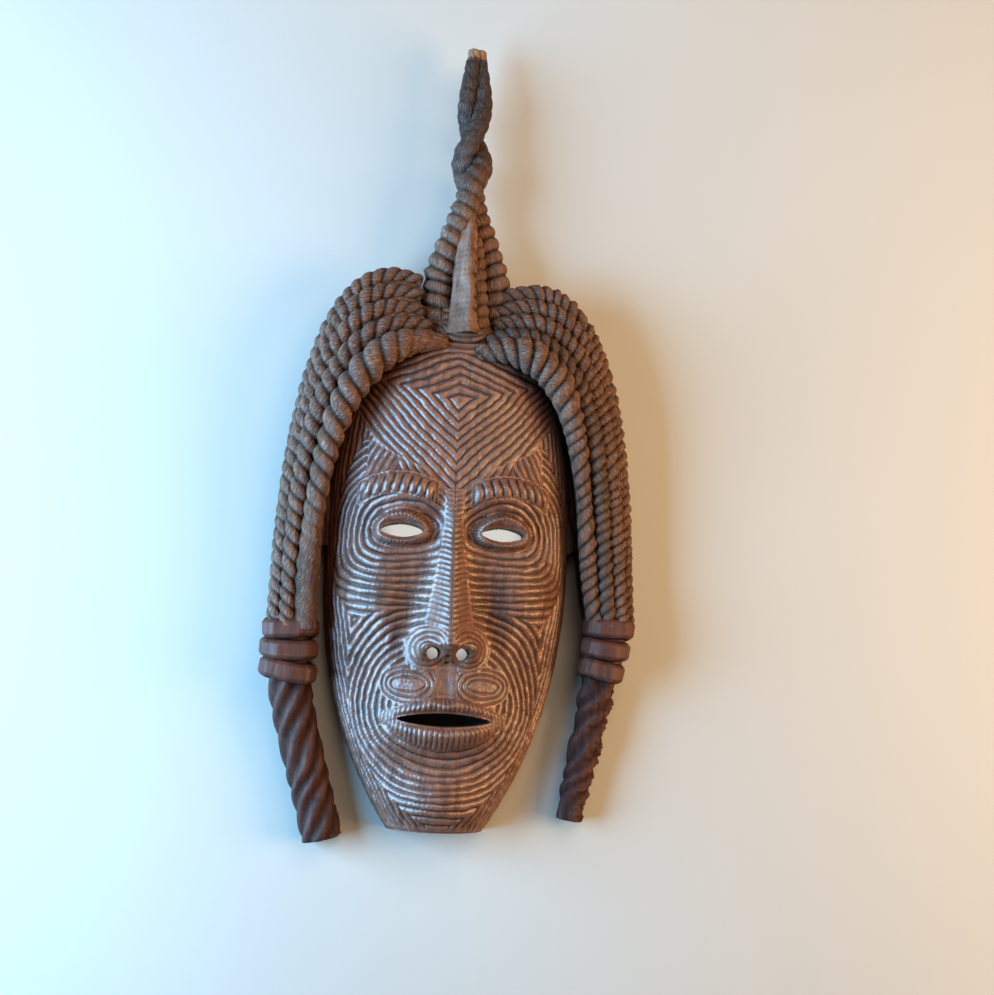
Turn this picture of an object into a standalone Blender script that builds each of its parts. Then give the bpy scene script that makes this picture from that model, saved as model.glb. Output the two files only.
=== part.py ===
"""A carved wooden face mask with hair of twisted locks, tied at both sides and drawn up into a spire.

It is carved from one block, so it is one solid: a hollow face shell under a scalp, with the locks, ties,
tails and spire standing on it. It lies on its back. Units are metres. +X is to the right of the face as it
is seen, +Y runs from the chin to the spire, and +Z points out of the face.

The shapes are laid out on the carver's own lines: x = 0 is the middle of the face, y = 0 its chin cut and
z = 0 the flat back. The last step sets the middle of the back at the origin.
"""

import math

import bpy
import numpy as np

MM = 0.001

# Face shell
FACE_LENGTH = 358 * MM
FACE_HALF_WIDTH = 86 * MM
FACE_DEPTH = 58 * MM
CHIN_HALF_WIDTH = 34 * MM
CHIN_DEPTH = 34 * MM
WALL = 14 * MM
SIDE_FULLNESS = 2.4  # 2 is an ellipse; more squares the cheeks

# Where the features sit: three equal parts between the chin and the hair
FACE_THIRD = 115 * MM
BROW_Y = 2 * FACE_THIRD
NOSE_Y = FACE_THIRD
MOUTH_Y = FACE_THIRD * 2 / 3
EYE_Y = BROW_Y - 27 * MM
EYE_X = 0.4 * FACE_HALF_WIDTH
NOSTRIL_X = 10 * MM
NOSTRIL_Y = NOSE_Y + 6 * MM

# Openings cut through the shell: half length, half height
EYE_OPENING = (15 * MM, 4.8 * MM)
MOUTH_OPENING = (32 * MM, 4.6 * MM)
NOSTRIL_OPENING = (4.8 * MM, 4.2 * MM)

# Scalp that carries the hair, reaching out past the face
SCALP_BOTTOM = 192 * MM
SCALP_TOP = 382 * MM
SCALP_HALF_WIDTH = 110 * MM
SCALP_DEPTH = 37 * MM
SCALP_EDGE_DEPTH = 24 * MM
SCALP_SHIFT = 2.5 * MM

# Locks of hair
LOCKS_PER_SIDE = 5
LOCK_RADIUS = 6.8 * MM
FRONT_LOCK_RADIUS = 10.5 * MM
LOCK_END_RADIUS = 6.2 * MM
LOCK_ROWS = 34
LOCK_GROOVE = 0.24
LOCK_SPREAD = 43 * MM  # from the front lock to the rearmost at the parting
INNER_LOCK_LEAD = 48 * MM

# Ties round the two bundles
TIES_PER_SIDE = 3
TIE_HEIGHT = 14.5 * MM
TIE_PITCH = 16.2 * MM
TIE_CHAMFER = 4.5 * MM
TIE_FRONT = 43 * MM

# Tails under the ties
TAIL_STRANDS = 6
TAIL_LEAD = 105 * MM
TAIL_GROOVE = 0.16

# Spire of two twisted strands, with one plain lock in front
SPIRE_X = 3.6 * MM
SPIRE_Z = 27 * MM
SPIRE_BASE = 345 * MM
SPIRE_TOP = 551 * MM
SPIRE_SPREAD = 21 * MM
STRAND_RADIUS = 8 * MM
STRAND_TIP_RADIUS = 4.2 * MM
FRONT_CONE_TOP = 432 * MM
FRONT_CONE_RADIUS = 15 * MM
COLLAR_RADIUS = 20 * MM
COLLAR_THICKNESS = 4 * MM

BACK_MARGIN = 12 * MM  # how far shapes run on below the back before it is cut flat
WOOD = (0.118, 0.060, 0.040, 1.0)

# Each side's gap to the face, half width of the bundle, height of its ties, their lean in degrees, and tail;
# slots say where the locks enter the tie, as a share of the half width and a height in millimetres
SIDES = {
    "left": {
        "sign": -1,
        "gap": 4 * MM,
        "half_width": 19 * MM,
        "tie_y": 149 * MM,
        "tie_lean": 0.0,
        "twist": -1,
        "slots": ((-0.60, 35), (0.02, 37), (0.60, 33), (0.70, 22), (0.66, 11)),
        "tail_end": (-80 * MM, -8 * MM),
        "tail_radii": (14.8 * MM, 14.2 * MM),
        "tail_drop": 4 * MM,
    },
    "right": {
        "sign": 1,
        "gap": 10 * MM,
        "half_width": 17.5 * MM,
        "tie_y": 159 * MM,
        "tie_lean": -8.0,
        "twist": 1,
        "slots": ((-0.62, 33), (-0.14, 37), (0.32, 36), (0.66, 28), (0.68, 15)),
        "tail_end": (94 * MM, 10 * MM),
        "tail_radii": (11.5 * MM, 8.6 * MM),
        "tail_drop": 2 * MM,
    },
}


def mound(x, y, at_x, at_y, reach_x, reach_y):
    """A smooth hill of height 1 at a point."""
    return np.exp(-(((x - at_x) / reach_x) ** 2) - ((y - at_y) / reach_y) ** 2)


def smooth_step(value, low, high):
    """0 below low, 1 above high and smooth between; low may be the larger."""
    t = np.clip((value - low) / (high - low), 0, 1)
    return t * t * (3 - 2 * t)


def bezier(controls, count):
    """Points along a cubic curve with four control points."""
    p = [np.array(c, float) for c in controls]
    t = np.linspace(0, 1, count)[:, None]
    s = 1 - t
    return s**3 * p[0] + 3 * s * s * t * p[1] + 3 * s * t * t * p[2] + t**3 * p[3]


def evenly(points, step):
    """The same route with its points a step apart."""
    gaps = np.linalg.norm(np.diff(points, axis=0), axis=1)
    along = np.concatenate([[0], np.cumsum(gaps)])
    wanted = np.linspace(0, along[-1], max(3, round(along[-1] / step) + 1))
    return np.stack([np.interp(wanted, along, points[:, k]) for k in range(3)], axis=1), wanted


def frames_along(points):
    """Two unit vectors across the route at each point, carried along it without turning."""
    tangents = np.gradient(points, axis=0)
    tangents /= np.linalg.norm(tangents, axis=1)[:, None]
    side = np.cross(tangents[0], (0, 0, 1.0))
    side /= np.linalg.norm(side)
    sides = []
    for tangent in tangents:
        side = side - tangent * (side @ tangent)
        side /= np.linalg.norm(side)
        sides.append(side.copy())
    sides = np.array(sides)
    return sides, np.cross(tangents, sides)


def make_object(name, points, faces, parent):
    """A mesh object in the carver's frame, shown only as wire: the finished mask is built from it."""
    mesh = bpy.data.meshes.new(name)
    mesh.from_pydata([tuple(p) for p in points], [], faces)
    mesh.update()
    shape = bpy.data.objects.new(name, mesh)
    shape.parent = parent
    shape.hide_render = True
    shape.display_type = "WIRE"
    return shape


def closed_rings(rings, leaning=1):
    """Points and triangles of a tube through rings of as many points each, closed at both ends.

    leaning picks which way the squares between two rings are split.
    """
    rings = np.array(rings)
    count, around = rings.shape[:2]
    faces = []
    for i in range(count - 1):
        for j in range(around):
            k = (j + 1) % around
            a, b, c, d = i * around + j, i * around + k, (i + 1) * around + k, (i + 1) * around + j
            faces += [(a, b, c), (a, c, d)] if leaning > 0 else [(a, b, d), (b, c, d)]
    points = rings.reshape(-1, 3)
    for first, turned in ((0, True), ((count - 1) * around, False)):
        middle = len(points)
        end = rings[first // around]
        points = np.vstack([points, 0.5 * (end.min(axis=0) + end.max(axis=0))])
        for j in range(around):
            edge = (first + j, first + (j + 1) % around)
            faces.append((edge[1], edge[0], middle) if turned else (edge[0], edge[1], middle))
    return points, faces


def facing_out(points, faces):
    """The faces, turned over if they enclose a negative volume."""
    volume = 0.0
    for face in faces:
        for b, c in zip(face[1:-1], face[2:]):
            volume += np.dot(points[face[0]], np.cross(points[b], points[c]))
    return faces if volume > 0 else [tuple(reversed(face)) for face in faces]


def solid(name, rings, parent, leaning=1):
    points, faces = closed_rings(rings, leaning)
    return make_object(name, points, facing_out(points, faces), parent)


def rope(name, route, radii, strands, lead, groove, twist, parent):
    """A rope of strands laid round a route, each strand a crest between two grooves; radii run along it."""
    corners = 2 * strands
    points, along = evenly(route, lead / corners)
    sides, fronts = frames_along(points)
    radius = np.interp(along / along[-1], np.linspace(0, 1, len(radii)), radii)
    rings = []
    for centre, across, front, distance, size in zip(points, sides, fronts, along, radius):
        turn = twist * 2 * math.pi * distance / lead
        ring = []
        for k in range(corners):
            angle = turn + 2 * math.pi * k / corners
            out = size * (1 - groove if k % 2 == 0 else 1)
            ring.append(centre + out * (math.cos(angle) * across + math.sin(angle) * front))
        rings.append(ring)
    return solid(name, rings, parent, -twist)


def domed_block(name, rows, columns, half_width, depth, parent, relief=None, back=0.0, shift=0.0):
    """A dome with a flat back: one arched outline for each height in rows, closed at both ends."""
    spread = np.linspace(-1, 1, columns)
    spread = np.sin(0.5 * math.pi * spread * (0.7 + 0.3 * np.abs(spread)))
    rings = []
    for y in rows:
        x = spread * half_width(y)
        arch = np.clip(1 - np.abs(spread) ** SIDE_FULLNESS, 0, 1) ** (1 / SIDE_FULLNESS)
        z = depth(y) * arch
        if relief is not None:
            slope = np.sign(spread) * np.abs(spread) ** (SIDE_FULLNESS - 1) / half_width(y)
            rise = np.maximum(arch, 1e-6) ** (SIDE_FULLNESS - 1) / depth(y)
            size = np.hypot(slope, rise)
            raised = relief(x, np.full_like(x, y)) * (1 - np.abs(spread) ** 6)
            x = x + raised * slope / size
            z = z + raised * rise / size
        ring = [(a + shift, y, b) for a, b in zip(x, z)]
        ring += [(x[-1] + shift, y, back - BACK_MARGIN), (x[0] + shift, y, back - BACK_MARGIN)]
        rings.append(ring)
    return solid(name, rings, parent)


# Face


def face_half_width(y):
    """An egg outline: widest at the eyes, narrowing to the chin cut and closing under the hair."""
    widest = EYE_Y
    if y < widest:
        return FACE_HALF_WIDTH - (FACE_HALF_WIDTH - CHIN_HALF_WIDTH) * ((widest - y) / widest) ** 2.6
    return FACE_HALF_WIDTH * max(0.0, 1 - ((y - widest) / (FACE_LENGTH - widest)) ** 2.2) ** 0.5


def face_depth(y):
    """How far the plain face stands off its back, before the features are carved."""
    forehead = 0.68 * FACE_LENGTH
    if y < forehead:
        return CHIN_DEPTH + (FACE_DEPTH - CHIN_DEPTH) * math.sin(0.5 * math.pi * y / forehead) ** 0.8
    return FACE_DEPTH * max(0.0, 1 - ((y - forehead) / (FACE_LENGTH - forehead)) ** 2.2) ** 0.5


def brow_line(across):
    """Height of the brow's middle line at a distance from the middle of the face."""
    return BROW_Y + 5 * MM - 9 * MM * ((across - 38 * MM) / (30 * MM)) ** 2


def lip_share(across):
    """Share of a lip's thickness at a distance from the middle: full there, nothing past the corners."""
    return np.clip(1 - (across / (MOUTH_OPENING[0] + 7 * MM)) ** 2, 0, 1)


def brow_relief(across, y):
    """The raised brow bands and the dent between them."""
    ends = smooth_step(across, 8 * MM, 20 * MM) * smooth_step(across, 72 * MM, 56 * MM)
    band = 5 * MM * ends * mound(0, y, 0, brow_line(across), 1, 9 * MM)
    ridge = 4 * MM * mound(across, y, 26 * MM, BROW_Y - 4 * MM, 30 * MM, 12 * MM)
    return band + ridge


def nose_relief(across, y):
    """The bridge, tip and wings of the nose."""
    bridge_top, tip = BROW_Y - 10 * MM, NOSE_Y + 17 * MM
    down = np.clip((bridge_top - y) / (bridge_top - tip), 0, 1)
    rise = smooth_step(y, bridge_top + 22 * MM, bridge_top - 8 * MM)
    under = smooth_step(y, NOSE_Y - 3 * MM, NOSE_Y + 13 * MM)
    height = (5 * MM + 20 * MM * down**1.25) * rise * under
    half_width = 8 * MM + 7 * MM * down**1.5
    ridge = height * np.exp(-((across / half_width) ** 2))
    wings = 15 * MM * mound(across, y, 15 * MM, NOSE_Y + 10 * MM, 8.5 * MM, 9.5 * MM)
    return np.hypot(ridge, wings)


def eye_relief(across, y):
    """The socket, and the closed-over lids that swell out of it round the opening."""
    socket = -10 * MM * mound(across, y, EYE_X - 3 * MM, EYE_Y + 1 * MM, 24 * MM, 16 * MM)
    bend = 2.5 * MM * ((across - EYE_X) / (20 * MM)) ** 2
    reach = ((across - EYE_X) / (22 * MM)) ** 2 + ((y - EYE_Y + bend) / (13 * MM)) ** 2
    return socket + 10 * MM * smooth_step(reach, 1.05, 0.35)


def mouth_relief(across, y):
    """The swell of the mouth with its two lips and the groove above them."""
    swell = 9 * MM * mound(across, y, 0, MOUTH_Y + 4 * MM, 46 * MM, 34 * MM)
    full = lip_share(across)
    bow = 1.6 * MM * mound(across, 0, 9 * MM, 0, 7 * MM, 1)
    upper = 6 * MM * full * mound(0, y, 0, MOUTH_Y + 2 * MM + 7 * MM * full + bow, 1, 5.6 * MM)
    lower = 7.5 * MM * full * mound(0, y, 0, MOUTH_Y - 2 * MM - 9 * MM * full, 1, 7.6 * MM)
    groove = -2.2 * MM * mound(across, y, 0, MOUTH_Y + 23 * MM, 4.5 * MM, 11 * MM)
    return swell + upper + lower + groove


def face_relief(x, y):
    """How far the features stand out of the plain face."""
    across = np.abs(x)
    cheek = 7 * MM * mound(across, y, 50 * MM, EYE_Y - 40 * MM, 24 * MM, 24 * MM)
    hollow = -4 * MM * mound(across, y, 56 * MM, MOUTH_Y + 22 * MM, 18 * MM, 30 * MM)
    beside_nose = -4 * MM * mound(across, y, 29 * MM, NOSE_Y + 32 * MM, 10 * MM, 26 * MM)
    fold = -4 * MM * mound(across, y, 0, MOUTH_Y - 29 * MM, 28 * MM, 8 * MM)
    chin = 11 * MM * mound(across, y, 0, 22 * MM, 27 * MM, 18 * MM)
    forms = cheek + hollow + beside_nose + fold + chin
    forms = forms + brow_relief(across, y) + eye_relief(across, y) + mouth_relief(across, y)
    return forms + nose_relief(across, y)


def face_rows(count):
    """Heights of the face's outlines, closer together where the mouth, nose and eyes are."""
    y = np.linspace(0, 0.985 * FACE_LENGTH, 400)
    crowding = 1 + 1.2 * mound(0, y, 0, MOUTH_Y, 1, 20 * MM) + 1.6 * mound(0, y, 0, NOSE_Y + 5 * MM, 1, 16 * MM)
    crowding += 0.9 * mound(0, y, 0, EYE_Y + 6 * MM, 1, 24 * MM)
    total = np.cumsum(crowding)
    return np.interp(np.linspace(total[0], total[-1], count), total, y)


def face_block(parent):
    return domed_block("face", face_rows(40), 27, face_half_width, face_depth, parent, face_relief)


def face_hollow(parent):
    """The hollow behind the face, a wall's thickness inside it."""
    rows = np.linspace(WALL, FACE_LENGTH - 2.2 * WALL, 12)
    return domed_block(
        "hollow",
        rows,
        11,
        lambda y: face_half_width(y) - WALL,
        lambda y: face_depth(y) - WALL,
        parent,
        back=-BACK_MARGIN,
    )


def opening(name, x, y, half_length, half_height, pointed, corners, parent):
    """A straight cutter through the shell with an almond or oval outline."""
    angles = np.linspace(0, 2 * math.pi, corners, endpoint=False)
    c, s = np.cos(angles), np.sin(angles)
    across = x + half_length * np.sign(c) * np.abs(c) ** pointed
    up = y + half_height * np.sign(s) * np.abs(s) ** pointed
    levels = (-2 * BACK_MARGIN, FACE_DEPTH + 60 * MM)
    return solid(name, [[(a, b, z) for a, b in zip(across, up)] for z in levels], parent)


def face_openings(parent):
    cutters = [opening("mouth_cut", 0, MOUTH_Y, *MOUTH_OPENING, 1.25, 20, parent)]
    for name, sign in (("left", -1), ("right", 1)):
        cutters.append(opening(f"{name}_eye_cut", sign * EYE_X, EYE_Y, *EYE_OPENING, 1.2, 16, parent))
        at = sign * NOSTRIL_X
        cutters.append(opening(f"{name}_nostril_cut", at, NOSTRIL_Y, *NOSTRIL_OPENING, 1.0, 10, parent))
    return cutters


# Hair


def scalp_block(parent):
    """The low dome behind the face that the locks lie on."""
    middle = 0.5 * (SCALP_BOTTOM + SCALP_TOP) - 30 * MM
    half = SCALP_TOP - middle

    def half_width(y):
        up = max(0.0, y - middle) / half
        return SCALP_HALF_WIDTH * max(0.0, 1 - up**2.3) ** 0.5

    def depth(y):
        up = (y - SCALP_BOTTOM) / (SCALP_TOP - SCALP_BOTTOM)
        rise = SCALP_EDGE_DEPTH + (SCALP_DEPTH - SCALP_EDGE_DEPTH) * smooth_step(up, 0.3, 0.8)
        return rise * max(0.0, 1 - max(0.0, (up - 0.7) / 0.3) ** 2) ** 0.5

    rows = SCALP_BOTTOM + (SCALP_TOP - SCALP_BOTTOM) * np.sin(np.linspace(0, 0.47, 9) * math.pi)
    return domed_block("scalp", rows, 13, half_width, depth, parent, shift=SCALP_SHIFT)


def crown_block(parent):
    """The middle of the crown, which fills the parting under the spire."""
    heights = [SPIRE_BASE + step * MM for step in (-14, 8, 28, 38)]
    return domed_block("crown", heights, 7, lambda y: 27 * MM, lambda y: 35 * MM, parent, shift=0.5 * SPIRE_X)


def tie_x(side):
    return side["sign"] * (FACE_HALF_WIDTH + side["gap"] + side["half_width"])


def lock_route(side, number):
    """From the parting over the shoulder of the hair into the first tie; number runs from 0 at the front."""
    sign, x, y = side["sign"], tie_x(side), side["tie_y"]
    rear = number / (LOCKS_PER_SIDE - 1)
    rear = rear * (1.36 - 0.36 * rear)
    slot_x, slot_z = side["slots"][number]
    end = np.array((x + sign * slot_x * side["half_width"], y - 6 * MM, slot_z * MM))
    start = np.array((sign * (13 + 15 * rear) * MM, SPIRE_BASE - 3 * MM + LOCK_SPREAD * rear, (46 - 9 * rear) * MM))
    over = np.array((sign * (66 + 26 * rear) * MM, SPIRE_BASE + (15 + 40 * rear) * MM, (62 - 22 * rear) * MM))
    down = end + np.array((sign * 10 * MM * rear, (140 + 10 * rear) * MM, (13 - 8 * rear) * MM))
    return bezier((start, over, down, end), 60)


def inner_route(side):
    """The lock nearest the face, which hangs from under the others."""
    sign, x, y = side["sign"], tie_x(side), side["tie_y"]
    inward = -sign * side["half_width"]
    controls = (
        (sign * 46 * MM, SPIRE_BASE - 12 * MM, 30 * MM),
        (sign * 88 * MM, SPIRE_BASE - 22 * MM, 26 * MM),
        (x + 0.9 * inward, y + 120 * MM, 22 * MM),
        (x + 0.62 * inward, y + 30 * MM, 20 * MM),
    )
    return bezier(controls, 60)


def lock_sheet(name, side, parent):
    """The locks of one side as one closed shape: a row of ridges, twisted, with the solid wood behind them.

    Each row runs from the plain side towards the face, over the locks and down to the back. Every lock has
    three points across it, set in and out by turns, and the split of the squares leans with the twist.
    """
    sign = side["sign"]
    share = np.linspace(0, 1, LOCK_ROWS)
    centres, radii = [], []
    for number in range(LOCKS_PER_SIDE):
        route = lock_route(side, number)
        gaps = np.linalg.norm(np.diff(route, axis=0), axis=1)
        along = np.concatenate([[0], np.cumsum(gaps)]) / gaps.sum()
        centres.append(np.stack([np.interp(share, along, route[:, k]) for k in range(3)], axis=1))
        full = FRONT_LOCK_RADIUS if number == 0 else LOCK_RADIUS
        radii.append(np.interp(share, (0, 0.12, 0.45, 0.75, 1), (0.6 * full, full, full, LOCK_END_RADIUS, LOCK_END_RADIUS)))
    centres, radii = np.array(centres), np.array(radii)
    tangents = np.gradient(centres, axis=1)
    tangents /= np.linalg.norm(tangents, axis=2)[:, :, None]
    across = np.gradient(centres, axis=0)
    across -= tangents * (across * tangents).sum(axis=2)[:, :, None]
    across /= np.linalg.norm(across, axis=2)[:, :, None]
    out = -sign * np.cross(across, tangents)

    room = 0.4 * np.linalg.norm(np.diff(centres, axis=0), axis=2)

    def around(number, row, degrees, size):
        angle = math.radians(degrees)
        reach = size * radii[number, row]
        sideways = reach * math.sin(angle)
        if degrees < 0 and number > 0:
            sideways = max(sideways, -room[number - 1, row])
        if degrees > 0 and number < LOCKS_PER_SIDE - 1:
            sideways = min(sideways, room[number, row])
        forward = reach * math.cos(angle)
        return centres[number, row] + forward * out[number, row] + sideways * across[number, row]

    rings = []
    last = LOCKS_PER_SIDE - 1
    for row in range(LOCK_ROWS):
        inner = centres[0, row] - 0.75 * radii[0, row] * across[0, row] * (1, 1, 0)
        outer = centres[last, row] - 0.3 * centres[last, row, 2] * across[last, row] * (1, 1, 0)
        ring = [(inner[0], inner[1], -BACK_MARGIN), (inner[0], inner[1], 0.55 * inner[2]), around(0, row, -115, 0.85)]
        for number in range(LOCKS_PER_SIDE):
            for column, degrees in enumerate((-58, 0, 58)):
                raised = (row + column + number) % 2
                ring.append(around(number, row, degrees, 1 if raised else 1 - LOCK_GROOVE))
            if number < last:
                middle = 0.5 * (centres[number, row] + centres[number + 1, row])
                facing = out[number, row] + out[number + 1, row]
                facing /= np.linalg.norm(facing)
                ring.append(middle + 0.2 * radii[number + 1, row] * facing)
        ring += [around(last, row, 112, 0.9), (outer[0], outer[1], -BACK_MARGIN)]
        rings.append(ring)
    return solid(name, rings, parent, side["twist"])


def side_hair(name, side, parent):
    radii = (LOCK_END_RADIUS, LOCK_END_RADIUS)
    turn = side["twist"]
    inner = rope(f"{name}_inner_lock", inner_route(side), radii, 3, INNER_LOCK_LEAD, LOCK_GROOVE, turn, parent)
    return [lock_sheet(f"{name}_locks", side, parent), inner]


def tie_band(name, x, y, half_width, height, lean, parent):
    """One flat-faced band round a bundle, with its edges cut off at a slant."""
    cut = TIE_CHAMFER
    outline = (
        (-half_width + 2 * cut, TIE_FRONT),
        (half_width - 2 * cut, TIE_FRONT),
        (half_width, TIE_FRONT - 2 * cut),
        (half_width, -BACK_MARGIN),
        (-half_width, -BACK_MARGIN),
        (-half_width, TIE_FRONT - 2 * cut),
    )
    tilt = math.radians(lean)
    rings = []
    for up, shrink in ((-0.5, 1), (-0.22, 0), (0.22, 0), (0.5, 1)):
        ring = []
        for across, front in outline:
            across -= math.copysign(shrink * 0.55 * cut, across)
            front -= shrink * 0.55 * cut if front > 0 else 0
            rise = up * height
            ring.append(
                (
                    x + across * math.cos(tilt) - rise * math.sin(tilt),
                    y + across * math.sin(tilt) + rise * math.cos(tilt),
                    front,
                )
            )
        rings.append(ring)
    return solid(name, rings, parent)


def ties_and_tail(name, side, parent):
    sign, x, y = side["sign"], tie_x(side), side["tie_y"]
    lean = math.radians(side["tie_lean"])
    shapes = []
    half_width, tilt = side["half_width"], side["tie_lean"]
    for k in range(TIES_PER_SIDE):
        down = (k + 0.5) * TIE_PITCH
        at = x + down * math.sin(lean) * sign
        shapes.append(tie_band(f"{name}_tie_{k + 1}", at, y - down, half_width + 1.5 * MM, TIE_HEIGHT, tilt, parent))
    down = 0.5 * TIES_PER_SIDE * TIE_PITCH
    at = x + down * math.sin(lean) * sign
    shapes.append(tie_band(f"{name}_neck", at, y - down, half_width - 2 * MM, 2 * down - TIE_HEIGHT, tilt, parent))
    start_y = y - (TIES_PER_SIDE - 0.6) * TIE_PITCH
    end_x, end_y = side["tail_end"]
    start_x = x + sign * (y - start_y) * math.sin(lean)
    height = side["tail_radii"][0] - side["tail_drop"]
    route = bezier(
        (
            (start_x, start_y, height + 6 * MM),
            (start_x + 0.15 * (end_x - start_x), start_y - 36 * MM, height + 3 * MM),
            (end_x - 0.30 * (end_x - start_x), end_y + 36 * MM, height),
            (end_x, end_y, height),
        ),
        40,
    )
    radii = side["tail_radii"]
    twist = 1
    tail = rope(f"{name}_tail", route, radii, TAIL_STRANDS, TAIL_LEAD, TAIL_GROOVE, twist, parent)
    shapes.append(tail)
    return shapes


def spire_route(first_turn):
    """One of the two strands: they stand apart at the foot, cross twice and meet at the tip."""
    heights = (0.0, 0.16, 0.50, 0.59, 0.68, 0.81, 1.0)
    turns = (180, 180, 90, 0, -90, -180, -200)
    spread = (1.0, 0.95, 0.30, 0.30, 0.30, 0.32, 0.10)
    share = np.linspace(0, 1, 60)
    angle = np.radians(np.interp(share, heights, turns) + first_turn)
    reach = SPIRE_SPREAD * np.interp(share, heights, spread)
    y = SPIRE_BASE + 8 * MM + (SPIRE_TOP - SPIRE_BASE - 8 * MM) * share
    x = SPIRE_X + reach * np.cos(angle)
    return np.stack([x, y, SPIRE_Z + np.minimum(reach, 7 * MM) * np.sin(angle)], axis=1)


def spire(parent):
    shapes = []
    for name, first_turn in (("left", 0), ("right", 180)):
        radii = (STRAND_RADIUS * 1.1, STRAND_RADIUS, STRAND_RADIUS, 0.9 * STRAND_RADIUS, STRAND_TIP_RADIUS)
        twist = -1 if name == "left" else 1
        shape_name = f"{name}_spire_strand"
        shapes.append(rope(shape_name, spire_route(first_turn), radii, 3, 34 * MM, 0.22, twist, parent))
    return shapes


def front_cone(parent):
    """The plain lock in front of the spire, with a sharp front edge, and the collar round its foot."""
    heights = np.linspace(0, 1, 7)
    outline = [(math.sin(a), math.cos(a)) for a in np.linspace(0, 2 * math.pi, 10, endpoint=False)]
    rings = []
    for share in heights:
        radius = FRONT_CONE_RADIUS * (1 - 0.30 * share**0.6 - 0.58 * share**3)
        y = SPIRE_BASE + 5 * MM + (FRONT_CONE_TOP - SPIRE_BASE - 5 * MM) * share
        front = SPIRE_Z + 17 * MM * (1 - 0.55 * share)
        ring = []
        for k, (across, out) in enumerate(outline):
            sharp = 1.25 if k == 0 else 0.95
            ring.append((SPIRE_X + radius * across * 0.9, y, front + radius * out * sharp))
        rings.append(ring)
    cone = solid("front_cone", rings, parent)
    around = np.linspace(0, 2 * math.pi, 13)
    lean = math.radians(25)
    ring_route = np.stack(
        [
            SPIRE_X + COLLAR_RADIUS * np.cos(around),
            SPIRE_BASE + 8 * MM - COLLAR_RADIUS * np.sin(around) * math.sin(lean),
            SPIRE_Z + 15 * MM + COLLAR_RADIUS * np.sin(around) * math.cos(lean),
        ],
        axis=1,
    )
    points, faces = [], []
    corners = 5
    for k in range(12):
        out = np.array([math.cos(around[k]), -math.sin(around[k]) * math.sin(lean), math.sin(around[k]) * math.cos(lean)])
        up = np.array([0.0, math.cos(lean), math.sin(lean)])
        for j in range(corners):
            angle = 2 * math.pi * j / corners
            points.append(ring_route[k] + COLLAR_THICKNESS * (math.cos(angle) * out + math.sin(angle) * up))
            here, onward = k * corners, ((k + 1) % 12) * corners
            faces.append((here + j, here + (j + 1) % corners, onward + (j + 1) % corners, onward + j))
    return [cone, make_object("collar", points, facing_out(points, faces), parent)]


def back_cut(parent):
    """Everything behind the flat back."""
    reach = FACE_LENGTH * 2
    corners = ((-reach, -reach), (reach, -reach), (reach, reach), (-reach, reach))
    return solid("back_cut", [[(x, y, z) for x, y in corners] for z in (-4 * BACK_MARGIN, 0.0)], parent)


def wood():
    material = bpy.data.materials.new("carved_wood")
    material.use_nodes = True
    shader = material.node_tree.nodes["Principled BSDF"]
    shader.inputs["Base Color"].default_value = WOOD
    shader.inputs["Roughness"].default_value = 0.55
    shader.inputs["Metallic"].default_value = 0.0
    return material


def collected(name, shapes):
    """A hidden collection of shapes for a Boolean to use."""
    group = bpy.data.collections.new(name)
    bpy.context.scene.collection.children.link(group)
    for shape in shapes:
        group.objects.link(shape)
    group.hide_render = True
    return group


def carve(block, joined, cut):
    """Joins the hair to the face and cuts the openings, as Boolean modifiers on the mask."""
    for name, operation, shapes in (("join", "UNION", joined), ("open", "DIFFERENCE", cut)):
        modifier = block.modifiers.new(name, "BOOLEAN")
        modifier.operation = operation
        modifier.solver = "EXACT"
        modifier.operand_type = "COLLECTION"
        modifier.collection = collected(name, shapes)


def box_of(shapes):
    points = np.array([vertex.co[:] for shape in shapes for vertex in shape.data.vertices])
    return points.min(axis=0), points.max(axis=0)


def main():
    for old in list(bpy.data.objects):
        bpy.data.objects.remove(old)
    frame = bpy.data.objects.new("carving_frame", None)
    bpy.context.scene.collection.objects.link(frame)

    mask = face_block(frame)
    mask.name = "mask"
    hair = [scalp_block(frame), crown_block(frame)]
    for name, side in SIDES.items():
        hair += side_hair(name, side, frame)
        hair += ties_and_tail(name, side, frame)
    hair += spire(frame)
    hair += front_cone(frame)
    cuts = [face_hollow(frame), *face_openings(frame), back_cut(frame)]

    bpy.context.scene.collection.objects.link(mask)
    mask.hide_render = False
    mask.display_type = "TEXTURED"
    mask.data.materials.append(wood())
    mask.data.shade_smooth()
    mask.data.set_sharp_from_angle(angle=math.radians(40))
    carve(mask, hair, cuts)

    low, high = box_of([mask, *hair])
    frame.location = (-0.5 * (low[0] + high[0]), -0.5 * (low[1] + high[1]), 0.0)


if __name__ == "__main__":
    main()
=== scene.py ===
"""The finished look of a carved wooden face mask with roped hair, laid on its back on a pale floor.

Every shape is laid out in millimetres on the carver's own lines: x = 0 is the middle of the face, y = 0 its
chin cut and z = 0 the flat back. Only carved_piece turns them into metres in the model's own frame.
"""

import math

import bpy
import numpy as np
from bpy.props import FloatProperty, FloatVectorProperty, IntProperty, PointerProperty
from mathutils import Matrix, Vector


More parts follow.
